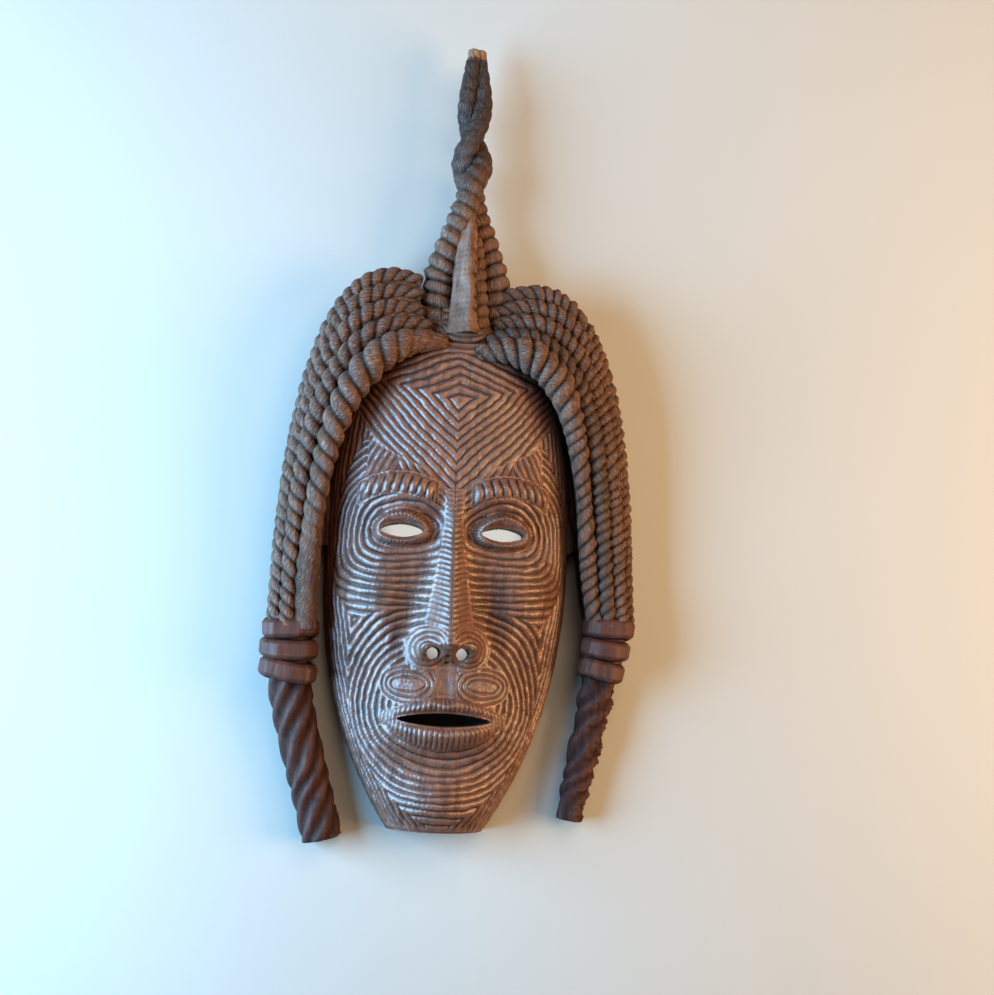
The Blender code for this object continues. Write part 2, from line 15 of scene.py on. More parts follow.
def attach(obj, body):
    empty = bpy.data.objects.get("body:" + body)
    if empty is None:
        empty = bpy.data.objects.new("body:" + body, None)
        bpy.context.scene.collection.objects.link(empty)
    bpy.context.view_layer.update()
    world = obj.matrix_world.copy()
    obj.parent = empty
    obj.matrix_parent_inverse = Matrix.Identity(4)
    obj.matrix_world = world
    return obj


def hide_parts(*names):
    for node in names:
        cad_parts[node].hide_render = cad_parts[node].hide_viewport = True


bl_info = {
    "name": "Carved Face Mask",
    "version": (1, 0, 0),
    "blender": (4, 5, 0),
    "location": "View3D > Sidebar > Carved mask",
    "description": "Builds a carved wooden face mask with roped hair and lights it",
    "category": "Object",
}

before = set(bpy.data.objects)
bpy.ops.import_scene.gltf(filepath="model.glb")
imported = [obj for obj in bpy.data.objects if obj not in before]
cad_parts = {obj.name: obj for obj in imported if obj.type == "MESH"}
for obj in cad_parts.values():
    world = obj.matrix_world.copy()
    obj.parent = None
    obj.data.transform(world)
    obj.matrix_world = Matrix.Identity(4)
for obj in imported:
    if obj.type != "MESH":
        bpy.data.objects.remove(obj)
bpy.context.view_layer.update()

MM = 0.001
MIDDLE = np.array((1.756, 270.257, 0.0))  # the middle of the back, from the chin cut
DETAIL = 1.0

# Face shell, as on the solid
FACE_LENGTH, FACE_HALF_WIDTH, FACE_DEPTH = 358.0, 86.0, 58.0
CHIN_HALF_WIDTH, CHIN_DEPTH, WALL = 34.0, 34.0, 14.0
HOLLOW_BOTTOM, HOLLOW_TOP = 14.0, 327.0
SIDE_FULLNESS, TOP_FULLNESS = 2.4, 2.9
BROW_Y, NOSE_Y, MOUTH_Y, EYE_Y, EYE_X = 230.0, 115.0, 230.0 / 3, 203.0, 34.4
FACE_FORMS = {  # how far out of the plain face, middle across and up, and reach across and up
    "cheekbone": (7, 50, EYE_Y - 40, 24, 24),
    "hollow of the cheek": (-4, 56, MOUTH_Y + 22, 18, 30),
    "beside the nose": (-4, 29, NOSE_Y + 32, 10, 26),
    "under the lip": (-4, 0, MOUTH_Y - 29, 28, 8),
    "chin": (11, 0, 22, 27, 18),
}
OPENINGS = {  # middle, half length, half height and how pointed the ends are
    "left_eye": (-EYE_X, EYE_Y, 15.0, 4.8, 1.2),
    "right_eye": (EYE_X, EYE_Y, 15.0, 4.8, 1.2),
    "mouth": (0.0, MOUTH_Y, 32.0, 4.6, 1.25),
    "left_nostril": (-10.0, NOSE_Y + 6, 4.8, 4.2, 1.0),
    "right_nostril": (10.0, NOSE_Y + 6, 4.8, 4.2, 1.0),
}

# Hair; its ties hang a little lower than on the solid
SCALP_BOTTOM, SCALP_TOP, SCALP_HALF_WIDTH = 192.0, 382.0, 110.0
SCALP_DEPTH, SCALP_EDGE_DEPTH, SCALP_SHIFT = 37.0, 24.0, 2.5
SCALP_INSIDE_TOP = 322.0  # the scalp is open over the face up to here
SCALP_NOTCH = 11.0  # how far the lower edge of the right side is cut up
LOCKS = 5
SPIRE_X, SPIRE_Z, SPIRE_BASE, SPIRE_TOP, SPIRE_SPREAD = 3.6, 27.0, 345.0, 551.0, 21.0
TIES, TIE_PITCH, TIE_HEIGHT, TIE_FRONT, TIE_MIDDLE = 3, 14.5, 13.0, 43.0, 20.0
TAIL_GROOVE = 0.17
# Each side of the hair. x, half_width and tie_y place its bundle at the first tie; leans (each tie) and drift
# (the bundle) are in degrees. front_route and rear_route give the parting and two bends of the front and the
# rear lock, and slots each lock's place in the first tie: across, as a share of half_width, and up. dark_lock
# is the lock that is coloured darker, if any.
SIDES = {
    "left": dict(
        sign=-1,
        x=-106.4,
        half_width=17.6,
        tie_y=141.3,
        tie_swell=(2.4, 3.0, 2.8),
        leans=(1.5, -1.0, -7.0),
        drift=0.0,
        twist=-1,
        front_route=((-12, 335, 45), (-86, 340, 71), (-99, 236, 38)),
        rear_route=((-30, 380, 33), (-113, 411, 42), (-117, 195, 15)),
        crowding=3.2,
        slots=((-0.58, 35), (0.14, 37), (0.60, 33), (0.68, 22), (0.64, 11)),
        bead_pitches=(12.5, 10.5, 9.5, 9.0, 9.0),
        front_radii=(0.60, 1.22, 1.22, 1.00, 0.80, 0.76, 0.84, 0.88),
        front_grooves=(0.06, 0.22, 0.34, 0.36, 0.32, 0.18, 0.12, 0.12),
        front_stain=(0, 0, 0, 0, 0, 0.35, 0.55, 0.5),
        dark_lock=None,
        roughness=0.045,
        inner_pitch=60,
        inner_groove=0.05,
        tail_end=(-77.0, -8.0),
        tail_radii=(15.0, 14.4),
        tail_height=10.8,
        tail_strands=6,
        tail_pitch=18,
        tail_waves=0.12,
        tail_roughness=0.014,
    ),
    "right": dict(
        sign=1,
        x=115.7,
        half_width=17.5,
        tie_y=150.6,
        tie_swell=(0.4, -0.3, -1.2),
        leans=(-6.0, -8.0, -10.0),
        drift=-8.0,
        twist=1,
        front_route=((14, 329, 45), (98, 350, 73), (87, 205, 27)),
        rear_route=((28, 371, 33), (116, 413, 42), (126, 203, 16)),
        crowding=1.85,
        slots=((-0.62, 33), (-0.14, 37), (0.32, 36), (0.66, 28), (0.68, 15)),
        bead_pitches=(9.5, 7.6, 7.0, 7.0, 7.6),
        front_radii=(0.62, 1.26, 1.10, 0.74, 0.62, 0.62, 0.64, 0.64),
        front_grooves=(0.24, 0.32, 0.32, 0.28, 0.30, 0.34, 0.34, 0.34),
        front_stain=(0, 0),
        dark_lock=1,
        roughness=0.075,
        inner_pitch=9,
        inner_groove=0.25,
        tail_end=(94.0, 10.0),
        tail_radii=(13.2, 9.4),
        tail_height=9.5,
        tail_strands=4,
        tail_pitch=19,
        tail_waves=0.7,
        tail_roughness=0.085,
    ),
}


# Sizes and colours that a user would change


class CarvedLineSettings(bpy.types.PropertyGroup):
    """The lines cut over the face."""

    line_spacing: FloatProperty(
        name="Line spacing",
        description="Distance between the lines on the cheeks, temples and chin",
        default=0.0050,
        min=0.002,
        unit="LENGTH",
    )
    forehead_spacing: FloatProperty(
        name="Forehead spacing",
        description="Distance between the diamonds and chevrons on the forehead",
        default=0.0051,
        min=0.002,
        unit="LENGTH",
    )
    fine_spacing: FloatProperty(
        name="Fine spacing",
        description="Distance between the fine lines on the nose, lids and lips",
        default=0.0031,
        min=0.001,
        unit="LENGTH",
    )
    line_depth: FloatProperty(
        name="Line depth",
        description="Depth of a full cut line",
        default=0.0013,
        min=0.0,
        unit="LENGTH",
    )
    unevenness: FloatProperty(
        name="Unevenness",
        description="How far a hand-cut line wanders, as a share of the spacing",
        default=0.32,
        min=0.0,
        max=1.0,
        subtype="FACTOR",
    )


class RopedHairSettings(bpy.types.PropertyGroup):
    """The twisted locks, the spire and the tails."""

    front_lock_radius: FloatProperty(
        name="Front lock radius",
        description="Radius of the lock nearest the face",
        default=0.0096,
        unit="LENGTH",
    )
    second_lock_radius: FloatProperty(
        name="Second lock radius",
        description="Radius of the next lock",
        default=0.0073,
        unit="LENGTH",
    )
    lock_radius: FloatProperty(
        name="Lock radius",
        description="Radius of the other locks",
        default=0.0070,
        unit="LENGTH",
    )
    spire_strand_radius: FloatProperty(
        name="Spire strand radius",
        description="Radius of the two strands of the spire",
        default=0.0100,
        unit="LENGTH",
    )
    spire_bead_pitch: FloatProperty(
        name="Spire bead pitch",
        description="Distance between the turns along the spire",
        default=0.0096,
        unit="LENGTH",
    )
    strands: IntProperty(
        name="Strands",
        description="Strands twisted into each lock",
        default=2,
        min=1,
        max=6,
    )
    strand_groove: FloatProperty(
        name="Strand groove",
        description="Depth between two strands, as a share of the lock's radius",
        default=0.34,
        min=0.0,
        max=0.6,
        subtype="FACTOR",
    )


class WoodSettings(bpy.types.PropertyGroup):
    """Colours and finish of the wood."""

    face_colour: FloatVectorProperty(
        name="Face wood",
        description="Stained wood of the face",
        default=(0.140, 0.059, 0.037),
        subtype="COLOR",
        min=0,
        max=1,
    )
    hair_colour: FloatVectorProperty(
        name="Hair wood",
        description="Greyer wood of the hair",
        default=(0.158, 0.078, 0.046),
        subtype="COLOR",
        min=0,
        max=1,
    )
    tie_colour: FloatVectorProperty(
        name="Tie wood",
        description="Redder wood of the ties and tails",
        default=(0.080, 0.030, 0.022),
        subtype="COLOR",
        min=0,
        max=1,
    )
    # Painted shade: cuts, grooves, rims and opening walls are darkened towards this colour by their cut
    # value. It also gives the stain at the end of the left front lock.
    cut_shade_and_stain_colour: FloatVectorProperty(
        name="Cut lines",
        description="Painted shade at the bottom of the cuts, and stain",
        default=(0.016, 0.007, 0.005),
        subtype="COLOR",
        min=0,
        max=1,
    )
    # Partly real wear and partly painted highlight on the ridge tops. The hair's carved fibres are lightened
    # with it too.
    rubbed_and_highlight_colour: FloatVectorProperty(
        name="Rubbed and highlighted edges",
        description="Rubbed tops of the ridges, with painted highlight",
        default=(0.190, 0.085, 0.050),
        subtype="COLOR",
        min=0,
        max=1,
    )
    raw_colour: FloatVectorProperty(
        name="Raw wood",
        description="Chipped, unstained wood",
        default=(0.30, 0.17, 0.10),
        subtype="COLOR",
        min=0,
        max=1,
    )
    dust_colour: FloatVectorProperty(
        name="Dust",
        description="Grey dust that lies on the hair",
        default=(0.110, 0.094, 0.084),
        subtype="COLOR",
        min=0,
        max=1,
    )
    hollow_colour: FloatVectorProperty(
        name="Hollow wood",
        description="Bare wood behind the mask",
        default=(0.20, 0.115, 0.07),
        subtype="COLOR",
        min=0,
        max=1,
    )


class StageSettings(bpy.types.PropertyGroup):
    """Floor, lights and camera."""

    floor_colour: FloatVectorProperty(
        name="Floor",
        description="Plain pale floor",
        default=(0.37, 0.345, 0.31),
        subtype="COLOR",
        min=0,
        max=1,
    )
    window_colour: FloatVectorProperty(
        name="Window light",
        description="Cool light from the left",
        default=(0.31, 0.64, 1.0),
        subtype="COLOR",
        min=0,
        max=1,
    )
    lamp_colour: FloatVectorProperty(
        name="Lamp light",
        description="Warm light from the right",
        default=(1.0, 0.67, 0.34),
        subtype="COLOR",
        min=0,
        max=1,
    )
    camera_distance: FloatProperty(
        name="Camera distance",
        description="From the camera to the face",
        default=1.1,
        min=0.3,
        unit="LENGTH",
    )
    view_width: FloatProperty(
        name="View width",
        description="Width of the picture at the face",
        default=0.700,
        min=0.1,
        unit="LENGTH",
    )


# Shape helpers


def mound(x, y, at_x, at_y, reach_x, reach_y):
    """A smooth hill of height 1 at a point."""
    return np.exp(-(((x - at_x) / reach_x) ** 2) - ((y - at_y) / reach_y) ** 2)


def smooth_step(value, low, high):
    """0 below low, 1 above high and smooth between; low may be the larger."""
    t = np.clip((value - low) / (high - low), 0, 1)
    return t * t * (3 - 2 * t)


def wander(x, y, size, seed):
    """Smooth seeded unevenness of about 1 either way, with waves of about that size."""
    chance = np.random.default_rng(seed)
    total = 0.0
    for _ in range(7):
        angle, shift = chance.uniform(0, 2 * math.pi, 2)
        wave = size * chance.uniform(0.7, 1.6)
        total = total + np.sin(2 * math.pi * (x * math.cos(angle) + y * math.sin(angle)) / wave + shift)
    return total / 3


def oval_distance(x, y, at_x, at_y, radius_x, radius_y):
    """About how far a point lies outside an oval, less than 0 inside it."""
    across, up = x - at_x, y - at_y + 1e-6
    near = np.hypot(across / radius_x, up / radius_y)
    return near * (near - 1) / np.hypot(across / radius_x**2, up / radius_y**2)


def bezier(controls, count=80):
    """Points along a cubic curve with four control points."""
    p = [np.array(c, float) for c in controls]
    t = np.linspace(0, 1, count)[:, None]
    s = 1 - t
    return s**3 * p[0] + 3 * s * s * t * p[1] + 3 * s * t * t * p[2] + t**3 * p[3]


def evenly(points, step):
    """The same route with its points a step apart, and their distances along it."""
    gaps = np.linalg.norm(np.diff(points, axis=0), axis=1)
    along = np.concatenate([[0], np.cumsum(gaps)])
    wanted = np.linspace(0, along[-1], max(4, round(along[-1] / step) + 1))
    return np.stack([np.interp(wanted, along, points[:, k]) for k in range(3)], axis=1), wanted


def frames_along(points):
    """Direction of a route and two unit vectors across it at each point, carried along without turning."""
    tangents = np.gradient(points, axis=0)
    tangents /= np.linalg.norm(tangents, axis=1)[:, None]
    side = np.cross(tangents[0], (0, 0, 1.0))
    side /= np.linalg.norm(side)
    sides = []
    for tangent in tangents:
        side = side - tangent * (side @ tangent)
        side /= np.linalg.norm(side)
        sides.append(side.copy())
    sides = np.array(sides)
    return tangents, sides, np.cross(tangents, sides)


def grid_faces(rows, columns, first=0):
    """Squares between neighbouring points of a grid."""
    i, j = np.meshgrid(np.arange(rows - 1), np.arange(columns - 1), indexing="ij")
    a = (first + i * columns + j).ravel()
    return np.stack([a, a + 1, a + columns + 1, a + columns], axis=1)


def ring_faces(rows, around, first=0):
    """Squares of a tube with as many points in each ring."""
    i, j = np.meshgrid(np.arange(rows - 1), np.arange(around), indexing="ij")
    k = (j + 1) % around
    a, b = (first + i * around + j).ravel(), (first + i * around + k).ravel()
    return np.stack([a, b, b + around, a + around], axis=1)


def carved_piece(name, points, faces, material, cut=None, strand=None):
    """A piece of the mask in the model's frame, which stands for the solid.

    cut, from 0 to 1, is how deep each point lies in a cut and how much painted shade the material gives it.
    strand gives each face corner a place along and across its strand, for the fibres.
    """
    points = np.asarray(points, float).reshape(-1, 3)
    if not np.isfinite(points).all():
        raise RuntimeError(f"{name} has a point that isn't a number")
    mesh = bpy.data.meshes.new(name)
    faces = faces.tolist() if hasattr(faces, "tolist") else faces
    mesh.from_pydata(((points - MIDDLE) * MM).tolist(), [], faces)
    mesh.validate()
    mesh.update()
    depth = np.zeros(len(points)) if cut is None else np.asarray(cut, float).ravel()
    mesh.attributes.new("cut", "FLOAT", "POINT").data.foreach_set("value", depth.astype(np.float32))
    if strand is not None:
        layer = mesh.uv_layers.new(name="strand")
        layer.data.foreach_set("uv", np.asarray(strand, np.float32).ravel())
    mesh.shade_smooth()
    mesh.materials.append(material)
    piece = bpy.data.objects.new(name, mesh)
    bpy.context.scene.collection.objects.link(piece)
    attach(piece, "root")
    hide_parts("mask")
    return piece


# Face


def face_half_width(y):
    """An egg outline: widest at the eyes, narrowing to the chin cut and closing under the hair."""
    low = np.clip((EYE_Y - y) / EYE_Y, 0, 1)
    high = np.clip((y - EYE_Y) / (FACE_LENGTH - EYE_Y), 0, 1)
    below = FACE_HALF_WIDTH - (FACE_HALF_WIDTH - CHIN_HALF_WIDTH) * low**2.6
    return np.where(y < EYE_Y, below, FACE_HALF_WIDTH * np.sqrt(1 - high**TOP_FULLNESS))


def face_depth(y):
    """How far the plain face stands off its back, before the features are carved."""
    forehead = 0.68 * FACE_LENGTH
    rise = np.sin(0.5 * math.pi * np.clip(y / forehead, 0, 1)) ** 0.8
    high = np.clip((y - forehead) / (FACE_LENGTH - forehead), 0, 1)
    below = CHIN_DEPTH + (FACE_DEPTH - CHIN_DEPTH) * rise
    return np.where(y < forehead, below, FACE_DEPTH * np.sqrt(1 - high ** (TOP_FULLNESS + 0.7)))


def brow_line(across):
    """Height of the middle of the brow at a distance from the middle of the face."""
    return BROW_Y + 5 - 9 * ((across - 38) / 30) ** 2


def lip_share(across):
    """Share of a lip's thickness at a distance from the middle: full there, nothing past the corners."""
    return np.clip(1 - (across / 39) ** 2, 0, 1)


def face_relief(x, y):
    """How far the features stand out of the plain face."""
    across = np.abs(x)
    forms = sum(out * mound(across, y, *place) for out, *place in FACE_FORMS.values())
    ends = smooth_step(across, 8, 20) * smooth_step(across, 72, 56)
    brow = 5 * ends * mound(0, y, 0, brow_line(across), 1, 9) + 4 * mound(across, y, 26, BROW_Y - 4, 30, 12)
    socket = -10 * mound(across, y, EYE_X - 3, EYE_Y + 1, 24, 16)
    bend = 2.5 * ((across - EYE_X) / 20) ** 2
    reach = ((across - EYE_X) / 22) ** 2 + ((y - EYE_Y - 1.5 + bend) / 14) ** 2
    fold = 1.8 * smooth_step(reach, 1.0, 0.5) * smooth_step(y, EYE_Y, EYE_Y + 7)
    eye = socket + 10.5 * smooth_step(reach, 1.05, 0.35) + fold
    full = lip_share(across)
    bow = 1.6 * mound(across, 0, 9, 0, 7, 1)
    mouth = 9 * mound(across, y, 0, MOUTH_Y + 4, 46, 34) - 2.2 * mound(across, y, 0, MOUTH_Y + 23, 4.5, 11)
    mouth = mouth + 6 * full * mound(0, y, 0, MOUTH_Y + 2 + 7 * full + bow, 1, 5.6)
    mouth = mouth + 7.5 * full * mound(0, y, 0, MOUTH_Y - 2 - 9 * full, 1, 7.6)
    bridge_top, tip = BROW_Y - 10, NOSE_Y + 17
    down = np.clip((bridge_top - y) / (bridge_top - tip), 0, 1)
    height = (5 + 20 * down**1.25) * smooth_step(y, bridge_top + 22, bridge_top - 8)
    height = height * smooth_step(y, NOSE_Y - 3, NOSE_Y + 13)
    ridge = height * np.exp(-((across / (8 + 7 * down**1.5)) ** 2))
    wings = 15 * mound(across, y, 15, NOSE_Y + 10, 8.5, 9.5)
    return forms + brow + eye + mouth + np.hypot(ridge, wings)


def cut_profile(lines, spacing, sharpness=2.0):
    """1 at the bottom of each cut and 0 on the rounded ridges between."""
    return (0.5 + 0.5 * np.cos(2 * math.pi * lines / spacing)) ** sharpness


def face_lines(u, y, edge, settings):
    """The cut ornament: how deep each point is cut in millimetres, and how much painted shade its cut gets
    from 0 to 1.

    Each part of the face has its own set of lines, and the first part that holds a point wins. u is the
    distance from the middle measured over the surface, and edge the same for the outline.
    """
    a = np.abs(u)
    coarse, forehead = settings.line_spacing / MM, settings.forehead_spacing / MM
    fine, deep = settings.fine_spacing / MM, settings.line_depth / MM
    stray = settings.unevenness * wander(u, y, 34, 11) + 0.10 * wander(u, y, 9, 12)
    full = lip_share(a)
    upper, lower = MOUTH_Y + 4 + 11 * full - y, y - (MOUTH_Y - 5 - 16 * full)
    lips = np.minimum(np.minimum(upper, lower), 42 - a)
    wing = oval_distance(a, y, 13.5, NOSE_Y + 9, 9, 9)
    tab = np.minimum(np.minimum(6.5 - a, y - MOUTH_Y - 15), MOUTH_Y + 36 - y)
    swirl = oval_distance(a, y, 25, MOUTH_Y + 23, 15, 8.5)
    bend = 2.5 * ((a - EYE_X) / 20) ** 2
    lid = oval_distance(a, y + bend * 0.6, EYE_X, EYE_Y, 16.5, 6.5)
    lid_edge = 4.0 + 3.6 * smooth_step(y, EYE_Y - 4, EYE_Y + 5)
    band = np.minimum(np.minimum(7.5 - np.abs(y - brow_line(a)), a - 12), 67 - a)
    down = np.clip((BROW_Y - 10 - y) / 88, 0, 1)
    nose = np.minimum(np.minimum(6 + 12 * down**1.4 - a, y - NOSE_Y - 9), BROW_Y + 2 - y)
    border = np.interp(a, (0, 10, 22, 40, 56, 74, 100, 140), (228, 232, 246, 254, 262, 286, 322, 330))
    nest = np.minimum(np.minimum(y - brow_line(a) - 8, border - y), np.minimum(a - 15, 62 - a))
    up = y - 293
    diamond = np.maximum(0.69 * a - 0.72 * up, 0.80 * up + 0.30 * a)
    eye_rings = oval_distance(a, y + 0.6 * bend, EYE_X, EYE_Y + 2, 23, 13)
    mouth_rings = oval_distance(a, y, 0, MOUTH_Y + 10, 36, 27)
    outline = edge - a + 4
    # Each part: how far inside it a point is, its lines, their spacing and depth, and its edge's cut
    parts = (
        (lips, u * (1 + 0.004 * (y - MOUTH_Y)), fine, 0.50 * deep, 0.5),
        (np.minimum(6.5 - wing, a - 2.5), wing, fine + 0.3, 0.70 * deep, 0.4),
        (tab, 0 * y, 50.0, 0.0, 0.5),
        (4.5 - swirl, swirl + 0.4, fine + 0.4, 0.8 * deep * smooth_step(swirl, -7.6, -5.4), 0.0),
        (lid_edge - lid, np.arctan2(1.7 * (y - EYE_Y), a - EYE_X) * 17, fine - 0.3, 0.42 * deep, 0.9),
        (band, a + 0.25 * (y - BROW_Y), 2.0 * fine, 1.15 * deep, 0.9),
        (nose, y - 0.32 * a, fine + 0.5, 0.55 * deep, 0.0),
        (nest, 0.5 * y + 0.866 * np.abs(a - 39), coarse - 0.4, 0.85 * deep, 0.0),
        (y - border, diamond, forehead, deep, 0.0),
        (0 * y + 90, np.minimum(np.minimum(eye_rings, mouth_rings), outline), coarse, deep, 0.0),
    )
    taken = np.zeros(u.shape, bool)
    outside = np.full(u.shape, 90.0)
    depth, dark = np.zeros(u.shape), np.zeros(u.shape)
    for inside, lines, spacing, cut_depth, rim in parts:
        here = (inside > 0) & ~taken
        margin = np.minimum(inside, outside)
        cut = cut_profile(lines + stray * spacing * 0.5, spacing) * smooth_step(margin, 0.0, 1.3)
        depth = np.where(here, cut * cut_depth, depth)
        # Painted shade in each cut, darkest at its bottom and fainter where the cut is shallow. The edge
        # lines and the middle seam below get it too.
        dark = np.where(here, cut**2.2 * np.minimum(1.0, 0.45 + 0.55 * cut_depth / deep), dark)
        if rim:
            line = rim * np.exp(-((inside / 0.8) ** 2))
            depth, dark = np.maximum(depth, line * deep), np.maximum(dark, line)
        outside = np.minimum(outside, np.abs(inside))
        taken |= here
    centre = np.exp(-((u / 0.8) ** 2)) * smooth_step(y, NOSE_Y + 12, NOSE_Y + 30) * smooth_step(y, 262, 235)
    depth, dark = np.maximum(depth, 0.5 * deep * centre), np.maximum(dark, 0.7 * centre)
    return depth, dark


def arch_height(share):
    """Height of a dome's arch, as a share, at a share of its half width."""
    return np.clip(1 - np.abs(share) ** SIDE_FULLNESS, 0, 1) ** (1 / SIDE_FULLNESS)


def arched_rows(y, columns, half_width, depth, relief=None, low=-1.0, high=1.0):
    """A grid over a dome with evenly spaced columns, and how far over the dome each point is from its top."""
    dense = np.sin(0.5 * math.pi * np.linspace(-1, 1, 801))
    arch = arch_height(dense)
    points, over = np.zeros((len(y), columns, 3)), np.zeros((len(y), columns))
    for i, height in enumerate(y):
        w, d = float(half_width(height)), float(depth(height))
        along = np.concatenate([[0], np.cumsum(np.hypot(np.diff(dense * w), np.diff(arch * d)))])
        wanted = np.linspace(0.5 * (1 + low), 0.5 * (1 + high), columns) * along[-1]
        spread = np.interp(wanted, along, dense)
        bow = arch_height(spread)
        x, z = spread * w, bow * d
        if relief is not None:
            slope = np.sign(spread) * np.abs(spread) ** (SIDE_FULLNESS - 1) / w
            rise = np.maximum(bow, 1e-6) ** (SIDE_FULLNESS - 1) / max(d, 1e-6)
            raised = relief(x, np.full_like(x, height)) * (1 - np.abs(spread) ** 6) / np.hypot(slope, rise)
            x, z = x + raised * slope, z + raised * rise
        points[i] = np.stack([x, np.full_like(x, height), z], axis=1)
        over[i] = wanted - 0.5 * along[-1]
    return points, over


def surface_normals(points):
    """Unit normals of a grid, on the side of +Z."""
    normals = np.cross(np.gradient(points, axis=1), np.gradient(points, axis=0))
    return normals / np.maximum(np.linalg.norm(normals, axis=2), 1e-9)[:, :, None]


def opening_value(x, y, opening):
    """Less than 1 inside an opening's outline."""
    at_x, at_y, length, height, pointed = opening
    return np.abs((x - at_x) / length) ** (2 / pointed) + np.abs((y - at_y) / height) ** (2 / pointed)


def opening_distance(x, y, opening):
    """About how far a point is from the outline of an opening, 0 inside it."""
    at_x, at_y, length, height, _ = opening
    value = opening_value(x, y, opening)
    return np.where(value < 1, 0, oval_distance(x, y, at_x, at_y, length, height).clip(0))


def onto_outline(x, y, opening):
    """The point moved straight away from the opening's middle onto its outline."""
    at_x, at_y, _, _, pointed = opening
    value = np.maximum(opening_value(x, y, opening), 1e-3)
    grow = value ** (-0.5 * pointed)
    return at_x + (x - at_x) * grow, at_y + (y - at_y) * grow


def hollow_half_width(y):
    """Half width of the hollow behind the face."""
    return face_half_width(y) - WALL


def hollow_depth(y):
    """Depth of the hollow behind the face, at its middle."""
    return face_depth(y) - WALL


def hollow_ceiling(x, y):
    """Height of the inside of the shell."""
    return hollow_depth(y) * arch_height(x / hollow_half_width(y))


def pierce(points, faces, cut, walls):
    """Takes the openings out of a grid and, if asked, adds their walls down to the inside of the shell, with
    painted shade that deepens down them.
    """
    flat = points.reshape(-1, 3).copy()
    keep = np.ones(len(faces), bool)
    rim = np.zeros(len(flat), bool)
    for opening in OPENINGS.values():
        inside = opening_value(flat[:, 0], flat[:, 1], opening) < 1
        keep &= ~inside[faces].all(axis=1)
        flat[inside, 0], flat[inside, 1] = onto_outline(flat[inside, 0], flat[inside, 1], opening)
        rim |= inside
    faces = faces[keep]
    cut = cut.ravel().copy()
    if not walls:
        return flat, faces, cut
    edges = np.concatenate([faces[:, [k, (k + 1) % 4]] for k in range(4)])
    edges = edges[rim[edges].all(axis=1)]
    lowest, highest = edges.min(axis=1), edges.max(axis=1)
    _, where, times = np.unique(lowest * len(flat) + highest, return_index=True, return_counts=True)
    edges = edges[where[times == 1]]
    ends = np.unique(edges)
    number = {int(end): k for k, end in enumerate(ends)}
    top = flat[ends]
    bottom = hollow_ceiling(top[:, 0], top[:, 1]) - 0.3
    # Painted shade on the walls of the openings: darker the deeper they go.
    levels, painted_wall_shades = (0.06, 0.2, 0.5, 0.8, 1.0), (0.2, 0.35, 0.5, 0.6, 0.6)
    extra, extra_faces = [], []
    count = len(flat)
    for share in levels:
        ring = top.copy()
        ring[:, 2] = top[:, 2] * (1 - share) + bottom * share
        extra.append(ring)
    for start, end in edges:
        a, b = number[int(start)], number[int(end)]
        above = (start, end)
        for level in range(len(levels)):
            below = (count + level * len(ends) + a, count + level * len(ends) + b)
            extra_faces.append((above[1], above[0], below[0], below[1]))
            above = below
    flat = np.vstack([flat, *extra])
    cut = np.concatenate([cut, *[np.full(len(ends), shade) for shade in painted_wall_shades]])
    return flat, np.vstack([faces, np.array(extra_faces)]), cut


def face_side(sign, settings):
    """One half of the carved front, from the seam down the middle to the flat back."""
    step, top_row, half_arch = 0.67 * DETAIL, 350, 118
    chin_rows = [0.0, 0.25, 0.7]
    rows = np.concatenate([chin_rows, np.linspace(1.3, top_row, round((top_row - 1) / step))])
    columns = round(half_arch / step)
    low, high = (0, 1) if sign > 0 else (-1, 0)
    points, over = arched_rows(rows, columns, face_half_width, face_depth, face_relief, low, high)
    y = points[:, :, 1]
    edge = np.abs(over).max(axis=1)[:, None] + 0 * over
    normals = surface_normals(points)
    depth, dark = face_lines(over, y, edge, settings)
    quiet = smooth_step(y, 0.5, 5) * smooth_step(edge - np.abs(over), 0, 3)
    near = np.full(y.shape, 90.0)
    for opening in OPENINGS.values():
        near = np.minimum(near, opening_distance(points[:, :, 0], y, opening))
    quiet = quiet * smooth_step(near, 0.2, 1.8)
    rolled = 1.3 * np.exp(-((near / 1.4) ** 2)) + 1.6 * np.exp(-((y / 1.1) ** 2))
    chisel = 0.16 * wander(over, y, 7, 21) + 0.10 * wander(over, y, 3.2, 22)
    inward = depth * quiet + rolled * smooth_step(points[:, :, 2], 0, 6) + chisel * quiet
    points = points - normals * inward[:, :, None]
    points[0, :, 1] = 0.0
    points[:, :, 2] = points[:, :, 2].clip(0)
    faces = grid_faces(*y.shape)
    return pierce(points, faces, dark * quiet, True)


def chin_and_back(arch):
    """The flat chin cut under an arch of points, and the flat rim of the back round the hollow."""
    faces, points = [], []
    levels = np.linspace(1, 0, 9)
    for level in levels:
        points += [(x, 0.02 * (1 - level), z * level) for x, _, z in arch]
    faces += grid_faces(len(levels), len(arch)).tolist()
    first = len(points)
    beside = np.linspace(HOLLOW_BOTTOM, HOLLOW_TOP, 90)
    rows = np.concatenate([[0, HOLLOW_BOTTOM - 0.1], beside, [HOLLOW_TOP + 0.1, 340, 350, 357]])
    for y in rows:
        outer = float(face_half_width(y))
        inner = outer - WALL if HOLLOW_BOTTOM <= y <= HOLLOW_TOP else 0.0
        for x in (-outer, -0.5 * (outer + inner), -inner, inner, 0.5 * (outer + inner), outer):
            points.append((x, y, 0.0))
    for i in range(len(rows) - 1):
        hollow = HOLLOW_BOTTOM <= rows[i] and rows[i + 1] <= HOLLOW_TOP
        for j in range(5):
            if j == 2 and hollow:
                continue
            a = first + 6 * i + j
            faces.append((a, a + 6, a + 7, a + 1))
    return points, faces


# Hair


